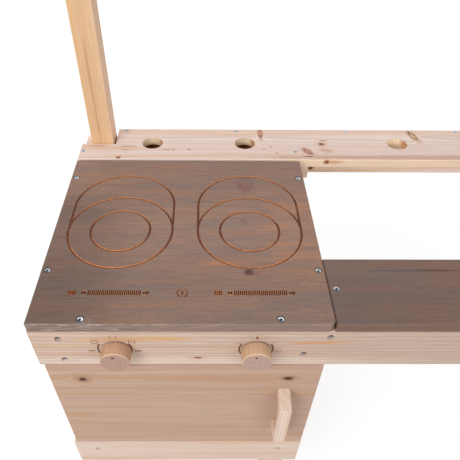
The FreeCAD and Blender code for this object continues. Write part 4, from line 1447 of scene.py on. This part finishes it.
def solids_of(node: str, digits: int = 6) -> list[np.ndarray]:
    """The points of each separate solid in a CAD node.

    Corners that lie in one place are merged, and each triangle passes its lowest number on to its
    corners until no number changes.

    Args:
        node: the CAD node.
        digits: decimals of a metre in which corners of one place agree.

    Returns:
        One array of points a solid.
    """
    mesh = frame["nodes"][node].data
    points = np.zeros(3 * len(mesh.vertices), np.float32)
    mesh.vertices.foreach_get("co", points)
    mesh.calc_loop_triangles()
    triangles = np.zeros(3 * len(mesh.loop_triangles), np.int32)
    mesh.loop_triangles.foreach_get("vertices", triangles)
    merged, place = np.unique(np.round(points.reshape(-1, 3), digits), axis=0, return_inverse=True)
    triangles = place.reshape(-1)[triangles].reshape(-1, 3)
    labels = np.arange(len(merged))
    while True:
        lower = labels.copy()
        np.minimum.at(lower, triangles, labels[triangles].min(axis=1, keepdims=True))
        lower = lower[lower]
        if np.array_equal(lower, labels):
            return [merged[labels == label] for label in np.unique(labels)]
        labels = lower


@dataclass(frozen=True)
class Spot:
    """Where a screw sits: the middle of its head, the way out of the wood, and its sizes."""

    place: np.ndarray
    out: np.ndarray
    head: float
    shank: float
    length: float

    @classmethod
    def of(cls, points: np.ndarray, reach: float = 0.0004) -> "Spot":
        """Reads a screw from its solid: its head is at the wider end of its long way.

        Args:
            points: the solid's points.
            reach: how near to an end a point counts as the end's.

        Returns:
            The screw's place and sizes.
        """
        low, high = points.min(0), points.max(0)
        axis = int(np.argmax(high - low))
        middle = (low + high) / 2
        apart = np.linalg.norm(np.delete(points - middle, axis, 1), axis=1)
        widths = [apart[np.abs(points[:, axis] - end[axis]) < reach].max() for end in (low, high)]
        top = int(widths[1] > widths[0])
        out = np.zeros(3)
        out[axis] = 2.0 * top - 1.0
        place = middle.copy()
        place[axis] = (low, high)[top][axis]
        return cls(place, out, max(widths), min(widths), float((high - low)[axis]))


@dataclass
class Screws:
    """Countersunk cross-head screws in place of the plain ones of the frame.

    Shares are of the head's radius. The heads carry painted shade: in the cross, on the outer rim and on the
    lee side. On top, the start of the lee side follows the screw's place: two places, in front and behind,
    and the start at each.
    """

    groups: tuple[tuple[str, Body], ...] = (
        ("top_screws", Body.KITCHEN),
        ("front_screws", Body.KITCHEN),
        ("back_screws", Body.KITCHEN),
        ("side_screws", Body.KITCHEN),
        ("fitting_screws", Body.KITCHEN),
        ("door_screws", Body.DOOR),
    )
    seed: int = 11
    segments: int = 40
    ring_shares: tuple[float, ...] = (0.08, 0.2, 0.3, 0.4, 0.5, 0.58, 0.66, 0.74, 0.82, 0.88, 0.94, 1.0)
    recess_depth_share: float = 0.42
    arm_reach_share: float = 0.6
    arm_fade_share: float = 0.2
    arm_half_share: float = 0.15
    arm_edge_share: float = 0.06
    dome_share: float = 0.1
    seat_share: float = 0.06
    neck_share: float = 0.62
    # Painted shade on the outer rim of each head, where its countersink lies in shadow.
    rim_share: float = 0.9
    rim_fade_share: float = 0.05
    # Painted shadow on the lee side of each head.
    lee_darkness: float = 0.92
    lee_fade_share: float = 0.4
    lee: Place = (0.0, 0.0, 1.0)
    lee_start: float = -0.35
    lee_on_top: Place = (-0.35, -0.94, 0.0)
    lee_start_on_top: tuple[Pair, Pair] = ((-0.2, 0.2), (0.02, 0.75))

    def build(self) -> None:
        """Makes one piece for each group of screws."""
        material = ZINC.material()
        chance = np.random.default_rng(self.seed)
        for node, body in self.groups:
            spots = [Spot.of(points) for points in solids_of(node)]
            forms = [self.form(spot, chance.uniform(0.0, math.pi / 2)) for spot in spots]
            points, faces = join_forms([(points, faces) for points, faces, _ in forms])
            piece = make_piece(f"cross_head_{node}", points, faces)
            # The recess attribute carries the painted shade of each point.
            recess = piece.data.attributes.new(Plating.painted_shade_attribute, "FLOAT", "POINT")
            recess.data.foreach_set("value", np.concatenate([depth for _, _, depth in forms]))
            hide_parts(node)
            settle(piece, body, material)

    def form(self, spot: Spot, turn: float) -> tuple[np.ndarray, list, np.ndarray]:
        """One screw: a disc of rings whose height drops by a cross, then the cone and the shank.

        Args:
            spot: where the screw sits and its sizes.
            turn: how far the cross is turned.

        Returns:
            Points, faces, and how dark the painted shade lies at each point.
        """
        head = spot.head
        angle = np.linspace(0.0, 2 * math.pi, self.segments, endpoint=False)
        share, around = np.meshgrid(self.ring_shares, angle, indexing="ij")
        x, y = share * np.cos(around), share * np.sin(around)
        depth = self.cross(x, y)
        height = self.dome_share * (np.sqrt(np.maximum(1 - share ** 2, 0.0)) - 1.0)
        disc = head * np.stack([x, y, height - self.recess_depth_share * depth], axis=-1)
        radius = np.array([head, spot.shank, spot.shank])[:, None]
        level = np.array([-self.seat_share * head, -self.neck_share * head, -spot.length])[:, None]
        level = np.repeat(level, self.segments, 1)
        below = np.stack([radius * np.cos(angle), radius * np.sin(angle), level], axis=-1)
        points = np.concatenate([disc, below])
        rows = len(points)
        faces = grid_faces(rows, self.segments)[:, ::-1].tolist()
        faces.append(list(range(self.segments)))
        faces.append(list(range((rows - 1) * self.segments, rows * self.segments))[::-1])
        upright = Vector((0, 0, 1)).rotation_difference(Vector(spot.out)).to_matrix()
        turned = np.array(upright @ Matrix.Rotation(turn, 3, "Z"))
        offsets = points.reshape(-1, 3) @ turned.T
        # Painted shade: the cross, the outer rim and the lee side darken the head.
        rim = np.clip((share - self.rim_share) / self.rim_fade_share, 0, 1)
        painted_shade_level = np.concatenate([np.maximum(depth, rim).reshape(-1), np.ones(radius.size * self.segments)])
        return offsets + spot.place, faces, np.maximum(painted_shade_level, self.shadow(spot, offsets))

    def shadow(self, spot: Spot, offsets: np.ndarray) -> np.ndarray:
        """Painted shadow on the lee side of a head.

        There is none up to a start, and from there it rises evenly. On a head that faces up it starts
        later the further back the screw sits.

        Args:
            spot: where the screw sits and its sizes.
            offsets: the screw's points, from the middle of its head.

        Returns:
            How dark the painted shadow lies at each point.
        """
        lee, start = self.lee, self.lee_start
        if spot.out[2]:
            lee, start = self.lee_on_top, float(np.interp(spot.place[1], *self.lee_start_on_top))
        reach = offsets @ np.array(lee) / spot.head
        return self.lee_darkness * np.clip((reach - start) / self.lee_fade_share, 0, 1)

    def cross(self, x: np.ndarray, y: np.ndarray) -> np.ndarray:
        """Depth of the cross recess, from 0 to 1: two tapering arms that fade at their ends.

        Args:
            x, y: places on the head, as shares of its radius.

        Returns:
            The depth at each place.
        """
        depth = np.zeros_like(x)
        for along, aside in ((np.abs(x), np.abs(y)), (np.abs(y), np.abs(x))):
            arm = np.clip((self.arm_half_share - aside) / self.arm_edge_share + 0.5, 0, 1)
            end = np.clip((self.arm_reach_share - along) / self.arm_fade_share, 0, 1)
            depth = np.maximum(depth, arm * end)
        return depth


def rear_board_knots() -> tuple[Knot, ...]:
    """Knots, streaks and flecks of the rear board, broad bands first.

    Returns:
        The knots on its top and front edge.
    """
    pale = srgb(250, 220, 190)
    bands = (
        streak((0.1000, 0.1570, TOP), 0.2200, 0.0060, srgb(196, 162, 144),
               halo=srgb(208, 176, 158), spread=1.8),
        streak((-0.2000, 0.2430, TOP), 0.4000, 0.0110, srgb(222, 190, 170),
               halo=srgb(224, 194, 176), strength=0.6, spread=1.6),
        streak((0.1500, REAR_FRONT, 0.5125), 0.4000, 0.0012, pale,
               halo=pale, strength=0.7, spread=1.2, ragged=0.2),
    )
    knots = (
        Knot((-0.4304, 0.1548, TOP), 0.0036, 0.0028, core=srgb(118, 56, 26), rim=srgb(140, 74, 40),
             halo=srgb(206, 160, 128), strength=1.0, ragged=0.6),
        Knot((-0.1682, 0.2375, TOP), 0.0040, 0.0150, core=srgb(196, 146, 118), rim=srgb(96, 54, 36),
             strength=0.95, ragged=0.6),
        Knot((0.1255, 0.2300, TOP), 0.0052, 0.0150, core=srgb(216, 176, 138), rim=srgb(58, 32, 18),
             strength=1.0, lean=-0.25, ragged=0.6),
        Knot((-0.0556, 0.2010, TOP), 0.0050, 0.0042, core=srgb(126, 70, 46), rim=srgb(150, 98, 70),
             halo=srgb(208, 166, 138), strength=0.95, spread=3.8, ragged=0.8),
        Knot((-0.0500, 0.2128, TOP), 0.0060, 0.0010, core=srgb(150, 100, 74), strength=0.8),
        Knot((-0.0506, 0.1800, TOP), 0.0080, 0.0040, core=srgb(206, 160, 128), rim=srgb(180, 130, 100),
             halo=srgb(214, 176, 148), strength=0.6, lean=-0.6, ragged=1.4),
        Knot((-0.0848, 0.1754, TOP), 0.0058, 0.0098, core=srgb(188, 136, 112), rim=srgb(132, 84, 62),
             halo=srgb(206, 164, 142), strength=0.9, lean=-0.5),
        fleck((-0.0850, 0.1600, TOP), 0.0082, 0.0013, srgb(112, 68, 46), strength=0.95),
        Knot((-0.0536, REAR_FRONT, 0.5152), 0.0044, 0.02, core=srgb(146, 68, 28), rim=srgb(124, 56, 24),
             strength=1.0, deep=0.0034, ragged=0.4),
        fleck((-0.0380, REAR_FRONT, 0.5150), 0.0110, 0.02, srgb(222, 168, 116), strength=0.6, deep=0.0030),
    )
    lines = (
        (-0.4764, 0.1922, 0.0150, 0.0012, srgb(186, 132, 88)),
        (-0.4156, 0.1914, 0.0140, 0.0012, srgb(176, 124, 88)),
        (-0.4198, 0.1798, 0.0066, 0.0011, srgb(182, 130, 96)),
        (-0.3458, 0.1800, 0.0062, 0.0010, srgb(176, 126, 94)),
    )
    dot_across = 0.0012
    dots = (
        (-0.3320, 0.1799, 0.0024, srgb(164, 112, 82)),
        (-0.3034, 0.1816, 0.0030, srgb(168, 118, 88)),
        (-0.1520, 0.1916, 0.0020, srgb(196, 152, 122)),
        (-0.1651, 0.1833, 0.0022, srgb(200, 158, 130)),
        (-0.1416, 0.1707, 0.0026, srgb(190, 142, 112)),
    )
    return (
        *bands,
        *knots,
        *(fleck((x, y, TOP), along, across, colour, strength=0.8) for x, y, along, across, colour in lines),
        *(
            Knot((x, y, TOP), along, dot_across, core=core, strength=0.8, ragged=0.5)
            for x, y, along, core in dots
        ),
    )


def fascia_knots_and_painted_shade() -> tuple[Knot, ...]:
    """Bands, honey streaks and the one knot of the fascia, and a band of painted shade over its right part.

    Returns:
        The knots and the painted shade on its front.
    """
    grey = srgb(190, 166, 150)
    return (
        streak((-0.2600, FRONT, 0.4360), 0.2400, 0.0090, srgb(238, 218, 198),
               halo=srgb(232, 212, 192), strength=0.35, spread=1.5),
        # Painted shade: a darker grey band over the right part of the fascia.
        streak((0.1200, FRONT, 0.4700), 0.2600, 0.0440, grey, halo=grey, strength=0.35, spread=1.4),
        streak((-0.4500, FRONT, 0.4530), 0.0500, 0.0008, srgb(204, 154, 122),
               halo=srgb(214, 176, 150), strength=0.7, spread=3.0),
        Knot((-0.2820, FRONT, 0.4449), 0.0056, 0.0022, core=srgb(150, 96, 62), spread=4.0),
        streak((-0.1200, FRONT, 0.4805), 0.0300, 0.0026, srgb(208, 152, 104),
               halo=srgb(212, 168, 128), strength=0.75, lean=5.0),
        streak((-0.3900, FRONT, 0.4885), 0.0460, 0.0034, srgb(216, 168, 118),
               halo=srgb(218, 182, 142), strength=0.6, spread=3.0),
        streak((-0.3280, FRONT, 0.4900), 0.0300, 0.0030, srgb(216, 166, 112),
               halo=srgb(218, 182, 142), strength=0.75),
    )


def door_knots() -> tuple[Knot, ...]:
    """The two dark knots of the oven door, each in a brown cloud.

    Returns:
        The knots on its front.
    """
    return (
        Knot((-0.4500, FRONT, 0.3890), 0.0130, 0.0090, core=srgb(178, 134, 102), rim=srgb(172, 128, 96),
             halo=srgb(188, 144, 112), strength=0.55, spread=2.2),
        Knot((-0.4509, FRONT, 0.3885), 0.0042, 0.0038, core=srgb(58, 30, 16), rim=srgb(96, 58, 38),
             halo=srgb(140, 98, 72), strength=1.0),
        Knot((-0.1510, FRONT, 0.3902), 0.0100, 0.0060, core=srgb(164, 122, 98), rim=srgb(160, 118, 94),
             halo=srgb(182, 140, 112), strength=0.55, spread=2.0),
        Knot((-0.1510, FRONT, 0.3902), 0.0052, 0.0036, core=srgb(76, 44, 34), rim=srgb(96, 60, 46),
             halo=srgb(148, 106, 82), strength=1.0, spread=2.2),
    )


def apron_knot_and_painted_light() -> tuple[Knot, ...]:
    """The apron's knot, and warm patches of painted light on it behind the two cup holes of the cooker.

    Returns:
        The knot and the painted light on its front.
    """
    knot = Knot((-0.0600, APRON_FRONT, 0.4385), 0.0060, 0.0040,
                core=srgb(110, 66, 44), rim=srgb(104, 62, 42), strength=0.9)
    # Painted light: warm patches where light through the cup holes falls on the apron.
    warm = (
        Knot((x, APRON_FRONT, 0.4800), 0.0400, 0.0400, core=srgb(232, 150, 92), rim=srgb(226, 146, 90),
             halo=srgb(230, 160, 104), strength=0.9, deep=0.0040, swirl=0.0)
        for x, _ in CUP_HOLES[:2]
    )
    return (knot, *warm)


def post_streak_and_painted_light() -> tuple[Knot, ...]:
    """A brown streak of the tall left post, and painted light that makes its right face paler.

    Returns:
        The streak on its front and the painted light on its right side.
    """
    low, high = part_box("rear_left_post")
    pale = srgb(246, 208, 176)
    return (
        streak((-0.4680, low.y, 0.6200), 0.0900, 0.0014, srgb(196, 146, 98),
               halo=srgb(210, 166, 120), strength=0.5, spread=4.0),
        # Painted light on the right face of the post.
        streak((high.x, (low.y + high.y) / 2, 0.7000), 0.9000, 0.0030, pale,
               halo=pale, spread=1.4, deep=0.05, ragged=0.3),
    )


def hob_knots() -> tuple[Knot, ...]:
    """Knots and stains of the hob, and a bare spot on its front edge.

    Returns:
        The knots on its top and front edge.
    """
    return (
        Knot((-0.2110, -0.1270, TOP), 0.0060, 0.0056, core=srgb(104, 74, 70), rim=srgb(62, 42, 42),
             halo=srgb(138, 100, 86), strength=1.0, spread=2.0, ragged=0.6),
        Knot((-0.2118, -0.1268, TOP), 0.0022, 0.0020, core=srgb(66, 46, 46), rim=srgb(70, 48, 46),
             halo=srgb(96, 70, 66), strength=0.9, spread=1.6, ragged=0.5),
        Knot((-0.1992, -0.1296, TOP), 0.0030, 0.0030, core=srgb(146, 96, 84), rim=srgb(140, 92, 80),
             halo=srgb(146, 108, 92), strength=0.7),
        Knot((-0.2126, -0.0192, TOP), 0.0034, 0.0062, core=srgb(138, 110, 98), rim=srgb(50, 37, 35),
             halo=srgb(132, 106, 94), strength=1.0, ragged=0.2),
        Knot((-0.2060, 0.0766, TOP), 0.0130, 0.0200, core=srgb(142, 96, 90), rim=srgb(112, 84, 80),
             halo=srgb(134, 108, 100), strength=0.75, spread=2.0, ragged=1.4),
        Knot((-0.2060, 0.0900, TOP), 0.0160, 0.0040, core=srgb(116, 94, 90), rim=srgb(112, 92, 88),
             halo=srgb(134, 110, 100), strength=0.5, ragged=1.6),
        Knot((-0.2290, -0.1105, TOP), 0.0420, 0.0044, core=srgb(184, 124, 88), rim=srgb(176, 118, 86),
             halo=srgb(150, 114, 94), strength=0.55, spread=1.7, ragged=0.7, swirl=0.0),
        streak((-0.1180, -0.0500, TOP), 0.0560, 0.0800, srgb(166, 122, 97),
               halo=srgb(160, 120, 98), strength=0.45, spread=1.6),
        Knot((-0.4239, FRONT, 0.5163), 0.0060, 0.0060, core=srgb(236, 226, 222), rim=srgb(220, 208, 202),
             halo=srgb(188, 174, 166), strength=1.0, deep=0.0030),
    )


def plank_knots() -> tuple[Knot, ...]:
    """The plank's warm rear half and the crack in it.

    Returns:
        The streaks on its top.
    """
    return (
        streak((0.0300, -0.1110, TOP), 0.1400, 0.0120, srgb(117, 88, 76),
               halo=srgb(117, 90, 79), strength=0.7, spread=1.8, ragged=0.6),
        streak((0.0160, -0.1238, TOP), 0.0600, 0.0017, srgb(58, 36, 32),
               halo=srgb(100, 74, 66), strength=1.0, ragged=0.1),
    )


@dataclass
class Timber:
    """Every bare board, rail, leg and post."""

    slots: tuple[Slot, ...] = (Slot.PLANED_FIR, Slot.HONEY_FIR)
    finishes: dict[str, Wood] = field(default_factory=lambda: {
        "rear_left_post": HONEY_FIR,
        "rear_right_post": HONEY_FIR,
        "rear_board": BORED_FIR,
        "front_fascia": FASCIA_FIR,
    })
    tones: dict[str, Colour] = field(default_factory=lambda: {
        "rear_board": (0.955, 0.983, 1.05),
        "rear_cleat": (1.2, 1.2, 1.12),
        "front_fascia": (0.82, 0.8, 0.78),
        # The door is darker: partly browner wood, partly painted shade.
        "oven_door": (0.7, 0.6, 0.53),
        # Painted light: the apron, shaded under the rear board, is made brighter.
        "back_apron": (1.26, 1.3, 1.3),
        "rear_left_post": (1.13, 1.13, 1.1),
    })
    knots: dict[str, tuple[Knot, ...]] = field(default_factory=lambda: {
        "rear_board": rear_board_knots(),
        "front_fascia": fascia_knots_and_painted_shade(),
        "oven_door": door_knots(),
        "back_apron": apron_knot_and_painted_light(),
        "rear_left_post": post_streak_and_painted_light(),
    })

    def build(self) -> None:
        """Dresses every node of bare wood."""
        wanted = [slot.value for slot in self.slots]
        parts = frame["record"]["subparts"]
        for node in sorted(part["node"] for part in parts if part["material_slot"] in wanted):
            known = self.knots.get(node, ())
            board = Board.of(node, known, 0.0 if known else GROWTH.knots_a_metre)
            board = replace(board, tone=self.tones.get(node, board.tone))
            paint_node(node, self.finishes.get(node, FIR).material(board))


@dataclass
class StainedTops:
    """The stained hob and worktop plank."""

    hob_tone: Colour = (0.95, 0.94, 0.93)
    plank_tone: Colour = (0.64, 0.62, 0.64)

    def build(self) -> None:
        """Dresses both boards."""
        hob = replace(Board.of("hob_board", hob_knots()), tone=self.hob_tone)
        paint_node("hob_board", HOB.material(hob))
        plank = replace(Board.of("worktop_plank", plank_knots()), tone=self.plank_tone)
        paint_node("worktop_plank", STAINED.material(plank))


@dataclass(frozen=True)
class Pointer:
    """A knob, the degrees by which its dot stands to the left of straight up, and its tone."""

    node: str
    turn: float
    tone: Colour


@dataclass
class Knobs:
    """The two turned knobs with the bolt, spacer and washer of each."""

    pointers: tuple[Pointer, ...] = (
        Pointer("left_knob", 8.0, (0.98, 0.96, 0.94)),
        Pointer("right_knob", 6.0, (1.06, 1.11, 1.12)),
    )
    axes: tuple[int, int, int] = (1, 0, 2)
    heart: Pair = (0.011, -0.016)
    tilt: Pair = (0.0, 0.0)
    metal: tuple[str, ...] = ("left_knob_bolt", "right_knob_bolt", "knob_washers")

    def build(self) -> None:
        """Dresses the knobs with their grain along the bolt, and the metal and felt behind them."""
        for knob in self.pointers:
            board = Board.of(knob.node)
            board = replace(board, axes=self.axes, heart=self.heart, tilt=self.tilt, tone=knob.tone)
            paint_node(knob.node, replace(TURNED, turn=knob.turn).material(board))
        zinc = ZINC.material()
        for node in self.metal:
            paint_node(node, zinc)
        paint_node("knob_spacers", FELT.material())


@dataclass
class DoorFittings:
    """Hinges and catch of the oven door."""

    metal: tuple[str, ...] = ("hinge_frame_leaves", "hinge_door_leaves", "hinge_pins", "catch_plate")

    def build(self) -> None:
        """Dresses the metal and the catch."""
        steel = STEEL.material()
        for node in self.metal:
            paint_node(node, steel)
        paint_node("catch_magnet", CATCH.material())


@dataclass(frozen=True)
class Lamp:
    """A square soft lamp: its place, the length of its side and its power."""

    name: str
    place: Place
    size: float
    power: float

    def hang(self, aim: Place) -> None:
        """Hangs the lamp.

        Args:
            aim: the point that it is turned to.
        """
        lamp = bpy.data.lights.new(self.name, "AREA")
        lamp.size = self.size
        lamp.energy = self.power
        holder = bpy.data.objects.new(self.name, lamp)
        holder.location = self.place
        holder.rotation_euler = (Vector(aim) - Vector(self.place)).to_track_quat("-Z", "Y").to_euler()
        bpy.context.scene.collection.objects.link(holder)


@dataclass
class Studio:
    """The pale floor, the soft lamps and the camera. Pixels are the picture's, and angles are in radians."""

    floor_half: float = 9.0
    floor_tone: Colour = (0.75, 0.75, 0.75)
    floor_share: float = 0.6
    floor_fade: Pair = (1.1, 3.0)
    floor_glow: float = 1.28
    sky: float = 0.42
    aim: Place = (-0.2, 0.0, 0.45)
    lamps: tuple[Lamp, ...] = (
        Lamp("left", (-1.6, -1.7, 1.75), 1.2, 29.0),
        Lamp("right", (1.4, -2.0, 1.7), 1.3, 14.0),
        Lamp("top", (-0.2, 0.3, 2.8), 2.0, 34.0),
    )
    picture: float = 460.0
    sensor: float = 36.0
    focal_pixels: float = 489.24
    middle_pixels: Pair = (212.10, 255.50)
    near: float = 0.01
    eye: Place = (-0.2700, -0.5940, 1.0231)
    pitch: float = 0.788908
    roll: float = -0.0121275
    yaw: float = 0.0146714

    def build(self) -> None:
        """Sets the stage."""
        self.lay_floor()
        self.light_sky()
        for lamp in self.lamps:
            lamp.hang(self.aim)
        self.set_camera()
        bpy.context.scene.view_settings.view_transform = "Standard"

    def seen(self, nodes: bpy.types.Nodes, links: bpy.types.NodeLinks) -> bpy.types.NodeSocket:
        """One for rays that the camera, a mirror or glass sends out, and zero for light.

        Args:
            nodes, links: the node tree that asks.

        Returns:
            The socket that gives it.
        """
        path = nodes.new("ShaderNodeLightPath")
        total = path.outputs["Is Camera Ray"]
        for other in ("Is Glossy Ray", "Is Transmission Ray"):
            either = nodes.new("ShaderNodeMath")
            either.operation = "MAXIMUM"
            links.new(total, either.inputs[0])
            links.new(path.outputs[other], either.inputs[1])
            total = either.outputs[0]
        return total

    def lay_floor(self) -> None:
        """A white floor that keeps the shadows near the kitchen and fades to plain white further out."""
        half = self.floor_half
        points = np.array([(-half, -half, 0.0), (half, -half, 0.0), (half, half, 0.0), (-half, half, 0.0)])
        floor = make_piece("studio_floor", points, [(0, 1, 2, 3)])
        graph = Graph("pale_floor")
        graph.dress(Base_Color=self.floor_tone, Roughness=1.0, Specular_IOR_Level=0.0)
        glow = graph.nodes.new("ShaderNodeEmission")
        glow.inputs["Strength"].default_value = self.floor_glow
        blend = graph.nodes.new("ShaderNodeMixShader")
        x, y, _ = graph.parts("Object")
        fade = x.apart(y).smooth(*self.floor_fade, self.floor_share, 1.0)
        share = Signal(graph, self.seen(graph.nodes, graph.links)) * fade
        graph.links.new(share.socket, blend.inputs[0])
        graph.links.new(graph.shader.outputs[0], blend.inputs[1])
        graph.links.new(glow.outputs[0], blend.inputs[2])
        graph.links.new(blend.outputs[0], graph.nodes["Material Output"].inputs["Surface"])
        floor.data.materials.append(graph.material)

    def light_sky(self) -> None:
        """An even white sky: white to the eye, softer as a light."""
        world = bpy.data.worlds.new("studio_sky")
        world.use_nodes = True
        nodes, links = world.node_tree.nodes, world.node_tree.links
        level = nodes.new("ShaderNodeMapRange")
        links.new(self.seen(nodes, links), level.inputs[0])
        level.inputs["To Min"].default_value = self.sky
        links.new(level.outputs[0], nodes["Background"].inputs["Strength"])
        nodes["Background"].inputs["Color"].default_value = (1.0, 1.0, 1.0, 1.0)
        bpy.context.scene.world = world

    def set_camera(self) -> None:
        """The photograph's view: looking down at the hob from in front and a little to the right."""
        ahead = Vector((
            math.sin(self.yaw) * math.cos(self.pitch),
            math.cos(self.yaw) * math.cos(self.pitch),
            -math.sin(self.pitch),
        ))
        level = Vector((math.cos(self.yaw), -math.sin(self.yaw), 0.0))
        down = ahead.cross(level)
        right = math.cos(self.roll) * level + math.sin(self.roll) * down
        under = -math.sin(self.roll) * level + math.cos(self.roll) * down
        lens = bpy.data.cameras.new("camera")
        lens.sensor_width = self.sensor
        lens.lens = self.focal_pixels * self.sensor / self.picture
        lens.shift_x = 0.5 - self.middle_pixels[0] / self.picture
        lens.shift_y = self.middle_pixels[1] / self.picture - 0.5
        lens.clip_start = self.near
        camera = bpy.data.objects.new("camera", lens)
        turn = Matrix((right, -under, -ahead)).transposed()
        camera.matrix_world = Matrix.Translation(self.eye) @ turn.to_4x4()
        bpy.context.scene.collection.objects.link(camera)
        bpy.context.scene.camera = camera


def main() -> None:
    """Builds the looks in order."""
    logging.basicConfig(level=logging.INFO, format="%(name)s: %(message)s")
    parts = (
        Timber(), StainedTops(), Knobs(), DoorFittings(), HobMarks(), DialMarks(), Screws(), Studio(),
    )
    for part in parts:
        LOG.info("building %s", type(part).__name__)
        part.build()


if __name__ == "__main__":
    main()
